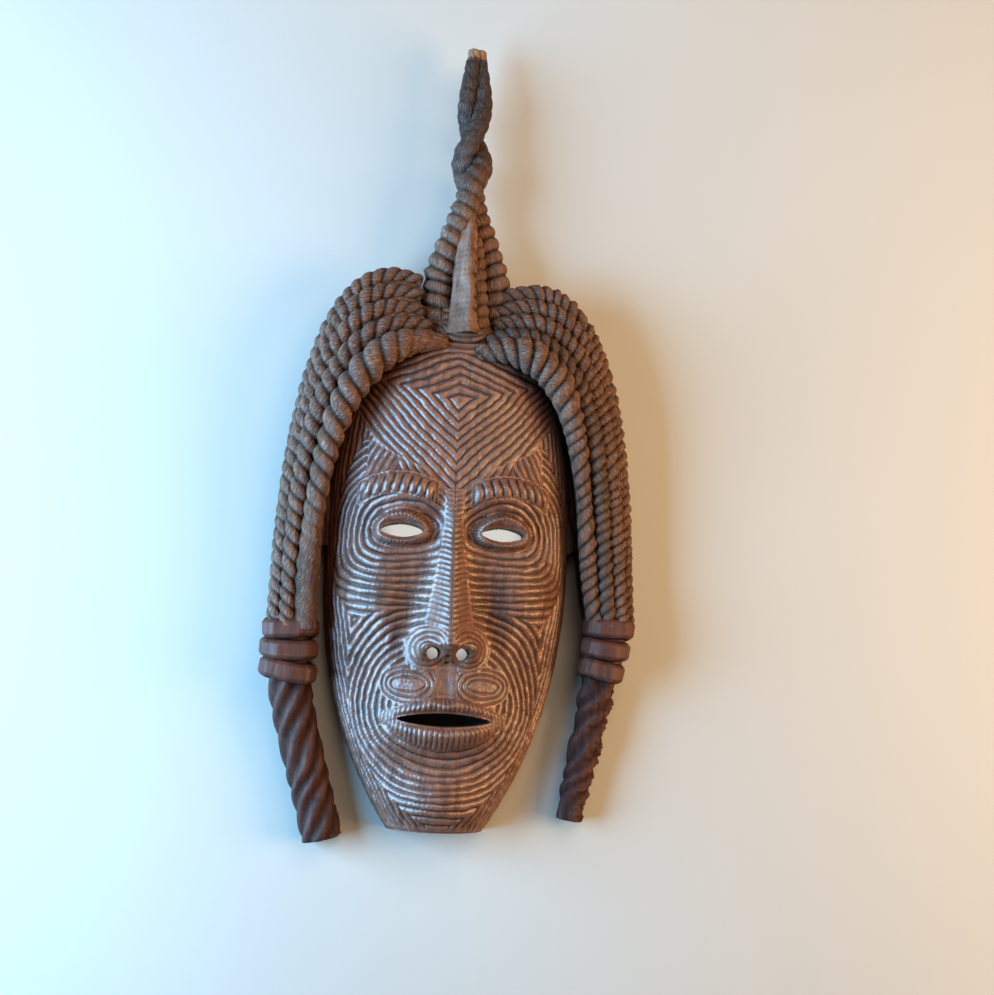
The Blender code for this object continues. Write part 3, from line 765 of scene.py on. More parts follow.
def lock_route(side, number):
    """From the parting over the shoulder of the hair into the first tie; number runs from 0 at the front.

    The locks crowd together sideways towards the rear, and step down evenly towards the back.
    """
    share = number / (LOCKS - 1)
    mix = np.array((1 - (1 - share) ** side["crowding"], share, share))
    front, rear = np.array(side["front_route"], float), np.array(side["rear_route"], float)
    slot_x, slot_z = side["slots"][number]
    end = (side["x"] + side["sign"] * slot_x * side["half_width"], side["tie_y"] - 6, slot_z)
    return bezier((*(front + (rear - front) * mix), end))


def inner_route(side):
    """The lock nearest the face, which hangs from under the others."""
    sign, x, y = side["sign"], side["x"], side["tie_y"]
    inward = -sign * side["half_width"]
    return bezier(
        (
            (sign * 46, SPIRE_BASE - 12, 30),
            (sign * 88, SPIRE_BASE - 22, 26),
            (x + 0.9 * inward, y + 120, 22),
            (x + 0.62 * inward, y + 20, 20),
        )
    )


def rope(
    name,
    route,
    radii,
    material,
    seed,
    strands=2,
    pitch=10.0,
    groove=0.3,
    twist=1,
    rough=0.03,
    waves=0.35,
    around=44,
    flat_end=False,
    sharp=1.0,
    stain=(0, 0),
):
    """A rope of strands laid round a route, with rounded or nearly flat ends.

    radii, stain, and groove if it has many values, run evenly along the route. pitch is the distance between
    two turns, waves how far the twist wanders, and sharp how narrow the ridges are.
    """
    step, around = 1.25 * DETAIL, round(around / DETAIL)
    points, along = evenly(route, step)
    tangents, sides, fronts = frames_along(points)
    size = np.interp(along / along[-1], np.linspace(0, 1, len(radii)), radii)
    slow, quick = wander(along, 0 * along, 45, seed + 1), wander(along, 0 * along, 15, seed + 3)
    size = size * (1 + 0.03 * slow + 0.6 * rough * quick)
    turn = twist * 2 * math.pi * along / (pitch * strands) + waves * wander(along, 0 * along, 50, seed)
    grow, push = np.ones(len(points)), np.zeros(len(points))
    caps = np.array((0.0, 0.25, 0.5, 0.75)) * 0.5 * math.pi
    bulge = 0.12 if flat_end else 0.5
    for start in (True, False):
        at, order = (0, caps) if start else (len(points) - 1, caps[::-1])
        rings = (points, tangents, sides, fronts, size, turn, along, grow, push)
        extra = [np.repeat(ring[at : at + 1], len(caps), axis=0) for ring in rings[:-2]]
        extra += [np.sin(order), (-1 if start else 1) * bulge * np.cos(order)]
        joined = [np.concatenate([new, old] if start else [old, new]) for old, new in zip(rings, extra)]
        points, tangents, sides, fronts, size, turn, along, grow, push = joined
    angle = np.linspace(0, 2 * math.pi, around, endpoint=False)[None, :]
    crest = np.abs(np.cos(0.5 * strands * (angle - turn[:, None]))) ** sharp
    grooves = np.atleast_1d(groove)
    groove = np.interp(along / along[-1], np.linspace(0, 1, len(grooves)), grooves)[:, None]
    form = 1 - groove * (1 - crest**0.8) ** 1.25
    small_marks = wander(angle * 9, along[:, None], 3.2, seed + 4)
    marks = wander(angle * 9, along[:, None], 6, seed + 2) + 0.8 * small_marks
    seam = 0.5 - 0.5 * np.cos(angle)
    radius = size[:, None] * (form + rough * marks * seam) * np.maximum(grow, 0.02)[:, None]
    centres = points + tangents * (push * size)[:, None]
    ring = centres[:, None, :] + radius[:, :, None] * (
        np.cos(angle)[:, :, None] * sides[:, None, :] + np.sin(angle)[:, :, None] * fronts[:, None, :]
    )
    ring[:, :, 2] = ring[:, :, 2].clip(0.0)
    corner_angle = np.linspace(0, 2 * math.pi, around + 1)[None, :]
    across = size.mean() * corner_angle + 0 * along[:, None]
    slope = twist * 2 * math.pi * size.mean() / (pitch * strands)
    down_strand = (along[:, None] + slope * across) / math.hypot(1, slope)
    over_strand = (across - slope * along[:, None]) / math.hypot(1, slope)
    place = np.stack([down_strand, over_strand], axis=2) * 0.1
    strand = np.stack([place[:-1, :-1], place[:-1, 1:], place[1:, 1:], place[1:, :-1]], axis=2).reshape(-1, 2)
    # Painted shade in the grooves between the strands. The stain after it is the wood's own darker colour.
    cut = (1 - crest) ** 1.5 * smooth_step(grow[:, None], 0.2, 0.9) * np.minimum(1.0, 3.5 * groove)
    cut = np.maximum(cut, np.interp(along / along[-1], np.linspace(0, 1, len(stain)), stain)[:, None])
    return carved_piece(name, ring, ring_faces(len(points), around), material, cut, strand)


def lock_cradle(name, side, settings, material):
    """The solid wood that one side's locks lie in, down to the flat back."""
    sign = side["sign"]
    share = np.linspace(0, 1, round(230 / DETAIL))
    centres, radii = [], []
    for number in range(LOCKS):
        route = lock_route(side, number)
        gaps = np.linalg.norm(np.diff(route, axis=0), axis=1)
        along = np.concatenate([[0], np.cumsum(gaps)]) / gaps.sum()
        centres.append(np.stack([np.interp(share, along, route[:, k]) for k in range(3)], axis=1))
        sizes = lock_radii(side, number, settings)
        radii.append(np.interp(share, np.linspace(0, 1, len(sizes)), sizes))
    centres, radii = np.array(centres), np.array(radii)
    tangents = np.gradient(centres, axis=1)
    tangents /= np.linalg.norm(tangents, axis=2)[:, :, None]
    across = np.gradient(centres, axis=0)
    across -= tangents * (across * tangents).sum(axis=2)[:, :, None]
    across /= np.linalg.norm(across, axis=2)[:, :, None]
    out = -sign * np.cross(across, tangents)
    last = LOCKS - 1
    inner = centres[0] - 0.62 * radii[0][:, None] * across[0] * (1, 1, 0)
    outer = centres[last] - 0.3 * centres[last, :, 2:3] * across[last] * (1, 1, 0)
    wall = inner * (1, 1, 0.55)
    shoulder = centres[0] - 0.75 * radii[0][:, None] * across[0] - 0.3 * radii[0][:, None] * out[0]
    rear = centres[last] - 0.8 * radii[last][:, None] * out[last]
    outline = [inner * (1, 1, 0), wall, shoulder, *centres, rear, outer * (1, 1, 0)]
    rings = np.stack(outline, axis=1)
    fine = 8
    dense = []
    for k in range(len(outline)):
        first, second = rings[:, k], rings[:, (k + 1) % len(outline)]
        dense += [first + (second - first) * part / fine for part in range(fine)]
    dense = np.stack(dense, axis=1)
    down_lock = np.cumsum(np.linalg.norm(np.diff(dense, axis=0, prepend=dense[:1]), axis=2), axis=0)
    round_lock = np.cumsum(np.linalg.norm(np.diff(dense, axis=1, prepend=dense[:, :1]), axis=2), axis=1)
    uneven = 1.5 * wander(down_lock, round_lock, 30, 90)
    turns = cut_profile(0.8 * down_lock - 0.6 * sign * round_lock + uneven, 7.5)
    seams = cut_profile(round_lock, 11.0, 3.0)
    cuts = np.maximum(0.7 * turns, seams)
    outward = dense - dense.mean(axis=1, keepdims=True)
    outward /= np.maximum(np.linalg.norm(outward, axis=2), 1e-6)[:, :, None]
    dense = dense - outward * (1.1 * cuts * smooth_step(dense[:, :, 2], 0, 3))[:, :, None]
    above_rim = 0.2
    dense[:, :, 2] = dense[:, :, 2].clip(above_rim)
    # Painted shade in the cut turns and seams, and a little over the whole cradle.
    return carved_piece(name, dense, ring_faces(len(share), dense.shape[1]), material, 0.1 + 0.6 * cuts)


def lock_radii(side, number, settings):
    """Evenly spaced radii along a lock: it starts thin at the parting and thins again towards the ties."""
    if number == 0:
        return np.array(side["front_radii"]) * settings.front_lock_radius / MM
    full = settings.second_lock_radius if number == 1 else settings.lock_radius
    return np.array((0.62, 0.98, 1.0, 1.0, 0.93, 0.84, 0.76, 0.72)) * full / MM


def tie(name, x, y, half_width, height, lean, seed, material, front_z=TIE_FRONT):
    """One band round a bundle, cut into flats with a knife, with bevelled rims."""
    around, along = round(150 / DETAIL), round(30 / DETAIL)
    angle = np.linspace(0, 2 * math.pi, around, endpoint=False)
    c, s = np.cos(angle), np.sin(angle)
    across = half_width * np.sign(c) * np.abs(c) ** 0.66
    front = np.sign(s) * np.abs(s) ** 0.66
    reach = np.where(front > 0, front_z - TIE_MIDDLE, TIE_MIDDLE)
    front = TIE_MIDDLE + reach * front
    tilt, flats = math.radians(lean), 9
    rim_fall, flat_depth, knife_depth, notch_depth = 5.6, 0.8, 0.45, 0.5
    rings, cuts = [], []
    for share in np.linspace(-1, 1, along):
        fall = 0.35 * max(0.0, abs(share) - 0.45) / 0.55 + 0.65 * (1 - (1 - abs(share) ** 5) ** 0.5)
        flat = np.mod(angle * flats / (2 * math.pi) + 0.37 * seed + 0.05 * share, 1.0) - 0.5
        facet = flat_depth * (1 - 4 * flat**2)
        knife = np.abs(wander(angle * 10, 0 * angle + share * 5, 13, seed)) ** 0.8
        nicked = (np.sin(3.1 * angle + seed) > 0.7) * max(0.0, 1 - abs(share) * 1.2)
        notch = np.exp(-((flat / 0.05) ** 2)) * nicked
        marks = knife_depth * knife + notch_depth * notch
        shrink = rim_fall * fall + facet + marks * np.sin(0.5 * angle) ** 2
        wide = across * (1 - shrink / half_width)
        out = TIE_MIDDLE + (front - TIE_MIDDLE) * (1 - shrink / (TIE_FRONT - TIE_MIDDLE))
        rise = 0.5 * height * np.sign(share) * abs(share) ** 0.8 + 0.9 * np.sin(2 * angle + seed)
        ring_x = x + wide * math.cos(tilt) - rise * math.sin(tilt)
        ring_y = y + wide * math.sin(tilt) + rise * math.cos(tilt)
        rings.append(np.stack([ring_x, ring_y, out], axis=1))
        # Painted shade on the rims that fall away towards the next band, and in the notches.
        cuts.append(np.clip(1.25 * fall**1.1 + 0.3 * notch, 0, 1))
    rings = np.array(rings)
    rings[:, :, 2] = rings[:, :, 2].clip(0)
    faces = ring_faces(along, around).tolist()
    faces.append(list(range(around))[::-1])
    faces.append([(along - 1) * around + k for k in range(around)])
    return carved_piece(name, rings, faces, material, np.array(cuts))


def tail_route(side):
    """From inside the lowest tie down to the tail's end."""
    sign, x, y = side["sign"], side["x"], side["tie_y"]
    start_y = y - 2.4 * TIE_PITCH
    start_x = x + sign * (y - start_y) * math.sin(math.radians(side["drift"]))
    end_x, end_y = side["tail_end"]
    height = side["tail_height"]
    return bezier(
        (
            (start_x, start_y, height + 6),
            (start_x + 0.15 * (end_x - start_x), start_y - 36, height + 3),
            (end_x - 0.30 * (end_x - start_x), end_y + 36, height),
            (end_x, end_y, height),
        )
    )


def spire_route(first_turn):
    """One of the two strands: they stand apart at the foot, cross twice and meet at the tip."""
    heights = (0.0, 0.16, 0.50, 0.59, 0.68, 0.81, 1.0)
    turns = (180, 180, 90, 0, -90, -180, -200)
    spread = (1.0, 0.95, 0.32, 0.30, 0.30, 0.27, 0.11)
    share = np.linspace(0, 1, 120)
    angle = np.radians(np.interp(share, heights, turns) + first_turn)
    reach = SPIRE_SPREAD * np.interp(share, heights, spread)
    y = SPIRE_BASE + 8 + (SPIRE_TOP - SPIRE_BASE - 8) * share
    x, z = SPIRE_X + reach * np.cos(angle), SPIRE_Z + np.minimum(reach, 7) * np.sin(angle)
    return np.stack([x, y, z], axis=1)


def front_cone(material):
    """The plain lock in front of the spire: round, with a sharp front edge and a blunt tip."""
    around, along = round(110 / DETAIL), round(130 / DETAIL)
    angle = np.linspace(-math.pi, math.pi, around, endpoint=False)
    foot, tip, lean = SPIRE_BASE - 4, 432.0, 0.22
    heights = (0, 0.1, 0.25, 0.6, 0.85, 0.94, 0.98, 1)
    sizes = (15.5, 13, 11, 9.8, 7.8, 5.9, 3.6, 0.3)
    rings, cuts = [], []
    for share in np.linspace(0, 1, along):
        radius = float(np.interp(share, heights, sizes))
        y = foot + (tip - foot) * share
        front = SPIRE_Z + 14 - 9 * share
        ridge = 0.20 * np.exp(-(((angle - lean) / 0.30) ** 2))
        flanks = 0.10 * np.exp(-(((np.abs(angle - lean) - 0.85) / 0.35) ** 2))
        arris = 1 + ridge - flanks
        marks = 0.055 * wander(angle * 9, 0 * angle + 0.8 * y, 10, 31)
        marks = marks + 0.020 * wander(angle * 9, 0 * angle + 0.7 * y, 3.4, 33)
        steps = 0.07 * cut_profile(y + 2.5 * angle, 8.6) * smooth_step(angle, lean + 0.1, lean + 0.5)
        rough = 1 + (marks - steps) * np.cos(0.5 * angle) ** 2
        size = radius * rough
        x = SPIRE_X - 1.5 + 0.9 * size * arris * np.sin(angle)
        rings.append(np.stack([x, 0 * angle + y, front + size * arris * np.cos(angle)], axis=1))
        # Painted shade in the stepped cuts and the knife dents, lighter on the bumps, over a slightly
        # darkened base.
        cuts.append(0.30 - 3.0 * marks + 6 * steps)
    faces, cuts = ring_faces(along, around), np.array(cuts).clip(0, 1)
    return carved_piece("front_lock_cone", np.array(rings), faces, material, cuts)


# Wood

FINISHES = {  # colour is a setting's name and tone a share of it; PLAIN_FINISH gives what a finish leaves out
    "face_wood": dict(colour="face_colour", rub_and_highlight=0.60, dust=0.05, rough=0.44, coat=0.40),
    "hair_wood": dict(colour="hair_colour", rub_and_highlight=0.45, dust=0.14, rough=0.60, fibres=1.0, relief=1.0),
    "spire_wood": dict(
        colour="hair_colour",
        rub_and_highlight=0.45,
        dust=0.30,
        rough=0.62,
        fibres=0.8,
        relief=1.0,
        chipped=(SPIRE_TOP - MIDDLE[1] - 6) * MM,
    ),
    "braid_wood": dict(
        colour="hair_colour", tone=0.4, rub_and_highlight=0.1, dust=0.05, rough=0.5, fibres=0.3, relief=1.0
    ),
    "tie_wood": dict(
        colour="tie_colour", rub_and_highlight=0.14, dust=0.04, rough=0.60, fibres=0.25, relief=0.6, specular=0.22
    ),
    "tail_wood": dict(
        colour="tie_colour",
        tone=0.72,
        rub_and_highlight=0.12,
        dust=0.0,
        rough=0.66,
        fibres=0.10,
        relief=0.9,
        specular=0.22,
    ),
    "scalp_wood": dict(colour="hair_colour", tone=0.8, rub_and_highlight=0.2, dust=0.3, rough=0.6, relief=0.5),
    "hollow_wood": dict(colour="hollow_colour", rub_and_highlight=0.3, dust=0.1, rough=0.65, relief=0.6, grain_size=180.0),
}
PLAIN_FINISH = dict(
    tone=1.0, coat=0.0, specular=0.45, grain_size=260.0, fibres=0.0, relief=0.25, chipped=None
)


def socket_group(name, inputs, outputs):
    """An empty shader node group with named number or colour sockets, and its two ends."""
    group = bpy.data.node_groups.new(name, "ShaderNodeTree")
    for label, kind, default in inputs:
        made = group.interface.new_socket(label, in_out="INPUT", socket_type=kind)
        made.default_value = default
    for label, kind in outputs:
        group.interface.new_socket(label, in_out="OUTPUT", socket_type=kind)
    return group, group.nodes.new("NodeGroupInput"), group.nodes.new("NodeGroupOutput")


def add(tree, kind, sockets=(), **settings):
    """A node with its settings, and values or links put into its inputs by name or number."""
    made = tree.nodes.new(kind)
    for key, value in settings.items():
        setattr(made, key, value)
    for key, value in dict(sockets).items():
        if isinstance(value, bpy.types.NodeSocket):
            tree.links.new(value, made.inputs[key])
        else:
            made.inputs[key].default_value = value
    return made


def maths(tree, operation, a, b=0.0, clamp=False):
    """A sum, product or other operation on two numbers."""
    return add(tree, "ShaderNodeMath", {0: a, 1: b}, operation=operation, use_clamp=clamp).outputs[0]


def between(tree, value, low, high, to_low=0.0, to_high=1.0):
    """A number moved smoothly from one range to another."""
    sockets = {0: value, 1: low, 2: high, 3: to_low, 4: to_high}
    return add(tree, "ShaderNodeMapRange", sockets, interpolation_type="SMOOTHSTEP").outputs[0]


def mixed(tree, share, a, b):
    """A colour between two."""
    a, b = (value if isinstance(value, bpy.types.NodeSocket) else (*value, 1.0) for value in (a, b))
    return add(tree, "ShaderNodeMix", {0: share, 6: a, 7: b}, data_type="RGBA").outputs[2]


def cloudy(tree, place, scale, detail, roughness=0.5):
    """Cloudy noise, as a number."""
    sockets = {"Vector": place, "Scale": scale, "Detail": detail, "Roughness": roughness}
    return add(tree, "ShaderNodeTexNoise", sockets).outputs["Fac"]


def grain_group():
    """Long grain of the wood and the marks of the knife, as a shade and a height."""
    group, start, end = socket_group(
        "Wood grain",
        (("Grain size", "NodeSocketFloat", 260.0), ("Knife size", "NodeSocketFloat", 700.0)),
        (("Shade", "NodeSocketFloat"), ("Patches", "NodeSocketFloat"), ("Height", "NodeSocketFloat")),
    )
    place = add(group, "ShaderNodeTexCoord").outputs["Object"]
    long = add(group, "ShaderNodeMapping", {"Vector": place, "Scale": (1.0, 0.09, 1.0)}).outputs[0]
    grain = cloudy(group, long, start.outputs["Grain size"], 6.0, 0.62)
    knife = cloudy(group, place, start.outputs["Knife size"], 3.0, 0.55)
    patches = cloudy(group, place, 22.0, 4.0, 0.6)
    group.links.new(between(group, grain, 0.33, 0.67), end.inputs["Shade"])
    group.links.new(between(group, patches, 0.35, 0.65), end.inputs["Patches"])
    long_share, knife_share = maths(group, "MULTIPLY", grain, 0.6), maths(group, "MULTIPLY", knife, 0.4)
    group.links.new(maths(group, "ADD", long_share, knife_share), end.inputs["Height"])
    return group


def rubbed_and_highlight_group():
    """Where handling has rubbed the stain off the ridges, with a painted highlight on the ridge tops."""
    group, start, end = socket_group(
        "Rubbed ridges",
        (
            ("Cut", "NodeSocketFloat", 0.0),
            ("Amount", "NodeSocketFloat", 0.5),
            ("Patch size", "NodeSocketFloat", 60.0),
        ),
        (("Mask", "NodeSocketFloat"),),
    )
    place = add(group, "ShaderNodeTexCoord").outputs["Object"]
    ridge = between(group, start.outputs["Cut"], 0.35, 0.0)
    rubbed = between(group, cloudy(group, place, start.outputs["Patch size"], 7.0, 0.7), 0.38, 0.72)
    bare = maths(group, "MULTIPLY", ridge, rubbed)
    group.links.new(maths(group, "MULTIPLY", bare, start.outputs["Amount"], True), end.inputs["Mask"])
    return group


def dust_group():
    """Pale dust that settles in patches on what faces up."""
    group, start, end = socket_group(
        "Settled dust",
        (("Amount", "NodeSocketFloat", 0.3), ("Speck size", "NodeSocketFloat", 900.0)),
        (("Mask", "NodeSocketFloat"),),
    )
    place = add(group, "ShaderNodeTexCoord").outputs["Object"]
    normal = add(group, "ShaderNodeNewGeometry").outputs["Normal"]
    lying = between(group, add(group, "ShaderNodeSeparateXYZ", {0: normal}).outputs["Z"], 0.1, 0.95)
    cloud = between(group, cloudy(group, place, 45.0, 5.0, 0.65), 0.40, 0.68)
    specks = between(group, cloudy(group, place, start.outputs["Speck size"], 2.0), 0.30, 0.60, 0.45, 1.0)
    settled = maths(group, "MULTIPLY", lying, maths(group, "MULTIPLY", cloud, specks))
    group.links.new(maths(group, "MULTIPLY", settled, start.outputs["Amount"], True), end.inputs["Mask"])
    return group


def placed_group(tree, name, maker, sockets):
    """A shared effect, built the first time, with this material's own values."""
    return add(tree, "ShaderNodeGroup", sockets, node_tree=bpy.data.node_groups.get(name) or maker())


def carved_wood(name):
    """Stained carved wood: painted shade in its cuts, rubbed and highlighted ridges, grain, knife marks and
    dust.

    A finish's chipped is how far up the mask the stain has broken off, in metres; the wood below it is
    smoked dark.
    """
    found = bpy.data.materials.get(name)
    if found:
        return found
    wood, finish = bpy.context.scene.mask_wood, {**PLAIN_FINISH, **FINISHES[name]}
    colour = tuple(finish["tone"] * c for c in getattr(wood, finish["colour"]))
    material = bpy.data.materials.new(name)
    material.use_nodes = True
    tree = material.node_tree
    shader = tree.nodes["Principled BSDF"]
    cut = add(tree, "ShaderNodeAttribute", attribute_name="cut").outputs["Fac"]
    grain = placed_group(tree, "Wood grain", grain_group, {"Grain size": finish["grain_size"]})
    rubbed_and_lit = placed_group(tree, "Rubbed ridges", rubbed_and_highlight_group, {"Cut": cut, "Amount": finish["rub_and_highlight"]})
    dusty = placed_group(tree, "Settled dust", dust_group, {"Amount": finish["dust"]})
    darker, lighter = tuple(0.55 * c for c in colour), tuple(min(1.0, 1.35 * c) for c in colour)
    body = mixed(tree, grain.outputs["Shade"], darker, lighter)
    patches = maths(tree, "MULTIPLY", grain.outputs["Patches"], 0.45)
    body = mixed(tree, patches, body, tuple(0.6 * c for c in colour))
    height, fibres = grain.outputs["Height"], finish["fibres"]
    if fibres:
        strand = add(tree, "ShaderNodeUVMap", uv_map="strand").outputs[0]
        lying = add(tree, "ShaderNodeMapping", {"Vector": strand, "Scale": (5.0, 0.9, 1.0)}).outputs[0]
        hatch = between(tree, cloudy(tree, lying, 1.6, 3.0, 0.6), 0.38, 0.62)
        body = mixed(tree, maths(tree, "MULTIPLY", hatch, 0.5 * fibres), body, tuple(wood.rubbed_and_highlight_colour))
        along = maths(tree, "MULTIPLY", hatch, fibres)
        height = maths(tree, "ADD", maths(tree, "MULTIPLY", height, 0.5), along)
    # Partly real wear and partly painted highlight: the ridge tops are lightened in patches.
    body = mixed(tree, rubbed_and_lit.outputs["Mask"], body, tuple(wood.rubbed_and_highlight_colour))
    body = mixed(tree, dusty.outputs["Mask"], body, tuple(wood.dust_colour))
    # Painted shade: the higher the cut value, the darker the colour, in cuts, grooves, rims and opening
    # walls. A lock's stain comes through here too.
    body = mixed(tree, between(tree, cut, 0.2, 1.0), body, tuple(wood.cut_shade_and_stain_colour))
    tip = finish["chipped"]
    if tip:
        place = add(tree, "ShaderNodeTexCoord").outputs["Object"]
        up = add(tree, "ShaderNodeSeparateXYZ", {0: place}).outputs["Y"]
        ragged = maths(tree, "ADD", up, maths(tree, "MULTIPLY", grain.outputs["Height"], 0.016))
        smoked = between(tree, up, 0.50 * tip, 0.80 * tip, 0.0, 0.9)
        body = mixed(tree, smoked, body, tuple(0.25 * c for c in colour))
        body = mixed(tree, between(tree, ragged, tip + 0.007, tip + 0.010), body, tuple(wood.raw_colour))
    tree.links.new(body, shader.inputs["Base Color"])
    dull = maths(tree, "MULTIPLY", dusty.outputs["Mask"], 0.3)
    gloss = maths(tree, "ADD", between(tree, cut, 0.0, 0.8, finish["rough"], 0.9), dull)
    gloss = maths(tree, "ADD", gloss, maths(tree, "MULTIPLY", grain.outputs["Shade"], -0.08), True)
    tree.links.new(gloss, shader.inputs["Roughness"])
    shader.inputs["Coat Weight"].default_value = finish["coat"]
    shader.inputs["Coat Roughness"].default_value = 0.38
    shader.inputs["Specular IOR Level"].default_value = finish["specular"]
    bump = {"Height": height, "Strength": finish["relief"], "Distance": 0.0012}
    tree.links.new(add(tree, "ShaderNodeBump", bump).outputs[0], shader.inputs["Normal"])
    return material


# Operators


class MASK_OT_face(bpy.types.Operator):
    """Carves the front of the face in two halves, with its chin cut and flat back"""

    bl_idname = "carved_mask.face"
    bl_label = "Carve the face"

    def execute(self, context):
        settings = context.scene.mask_lines
        wood = carved_wood("face_wood")
        for name, sign in (("left", -1), ("right", 1)):
            points, faces, cut = face_side(sign, settings)
            carved_piece(f"{name}_face", points, faces, wood, cut)
        spread = np.sin(0.5 * math.pi * np.linspace(-1, 1, 61))
        relief = face_relief(spread * CHIN_HALF_WIDTH, 0 * spread) * (1 - np.abs(spread) ** 6)
        below = 1.6  # the front's rolled lower edge
        heights = np.maximum(arch_height(spread) * CHIN_DEPTH + relief - below, 0.0)
        points, faces = chin_and_back([(x * CHIN_HALF_WIDTH, 0.0, z) for x, z in zip(spread, heights)])
        carved_piece("chin_and_back", points, faces, carved_wood("hollow_wood"))
        return {"FINISHED"}


class MASK_OT_hollow(bpy.types.Operator):
    """Hollows out the back of the face with a gouge"""

    bl_idname = "carved_mask.hollow"
    bl_label = "Carve the hollow"

    def execute(self, context):
        step, arch_length = 1.9 * DETAIL, 190
        rows = np.linspace(HOLLOW_BOTTOM, HOLLOW_TOP, round((HOLLOW_TOP - HOLLOW_BOTTOM) / step))
        points, over = arched_rows(rows, round(arch_length / step), hollow_half_width, hollow_depth)
        normals = surface_normals(points)
        y = points[:, :, 1]
        scoop_width, scoop_length, scoop_depth = 11, 26, 0.9
        across = np.abs(np.sin(math.pi * (over + 3 * wander(over, y, 40, 41)) / scoop_width))
        along = np.abs(np.sin(math.pi * (y + 4 * wander(over, y, 30, 42)) / scoop_length))
        scoop = across * along
        edge = smooth_step(points[:, :, 2], 0, 6)
        points = points + normals * (scoop_depth * scoop * edge)[:, :, None]
        flat, faces, cut = pierce(points, grid_faces(*y.shape), 0.25 * (1 - scoop) * edge, False)
        pieces, all_faces = [flat], [faces]
        count = len(flat)
        for arch in (points[0], points[-1]):
            levels = np.linspace(1, 0, 7)
            wall = np.stack([arch * (1, 1, level) for level in levels])
            pieces.append(wall.reshape(-1, 3))
            all_faces.append(grid_faces(len(levels), arch.shape[0], count))
            count += wall.shape[0] * wall.shape[1]
        cut = np.concatenate([cut, np.full(count - len(flat), 0.2)])
        wood = carved_wood("hollow_wood")
        carved_piece("hollow_back", np.vstack(pieces), np.vstack(all_faces), wood, cut)
        return {"FINISHED"}


def scalp_half_width(y):
    """Half width of the scalp, which closes above the crown."""
    middle = 0.5 * (SCALP_BOTTOM + SCALP_TOP) - 30
    half = SCALP_TOP - middle
    return SCALP_HALF_WIDTH * max(0.0, 1 - (max(0.0, y - middle) / half) ** 2.3) ** 0.5


def scalp_depth(y):
    """How far the scalp stands off the back."""
    up = (y - SCALP_BOTTOM) / (SCALP_TOP - SCALP_BOTTOM)
    rise = SCALP_EDGE_DEPTH + (SCALP_DEPTH - SCALP_EDGE_DEPTH) * smooth_step(up, 0.3, 0.8)
    return float(rise * max(0.0, 1 - max(0.0, (up - 0.7) / 0.3) ** 2) ** 0.5)


def crown_depth(y):
    """Height of the crown's middle, from the forehead back over the parting."""
    return (47.0 - 12 * smooth_step(y, 326, 380)) * (1 - 0.8 * smooth_step(y, 352, 392) ** 2)


def crown_piece(name, low, high, half_width, material):
    """A lined arch over the middle of the head, clear of the hollow below it."""
    step, columns, line_pitch = 0.8 * DETAIL, round(130 / DETAIL), 5.1
    rows = np.linspace(low, high, round((high - low) / step))
    points, over = arched_rows(rows, columns, lambda y: half_width, crown_depth)
    points[:, :, 0] += 0.5 * SPIRE_X
    y = points[:, :, 1]
    lines = cut_profile(y - 0.10 * np.abs(over) + 0.7 * wander(over, y, 20, 52), line_pitch)
    points = points - surface_normals(points) * (0.9 * lines)[:, :, None]
    first = np.stack([points[0] * (1, 1, level) for level in (0, 0.5)])
    last = np.stack([points[-1] * (1, 1, level) for level in (0.5, 0)])
    whole = np.concatenate([first, points, last])
    x, y = whole[:, :, 0], whole[:, :, 1]
    above_hollow = np.where(y < HOLLOW_TOP + 1, hollow_ceiling(x, y) + 2, 0)
    whole[:, :, 2] = np.maximum(whole[:, :, 2], above_hollow)
    # Painted shade in the cut lines and on the end walls.
    ends = np.full((2, whole.shape[1]), 0.4)
    cut = np.concatenate([ends, 0.8 * lines**2, ends])
    carved_piece(name, whole, grid_faces(*whole.shape[:2]), material, cut)


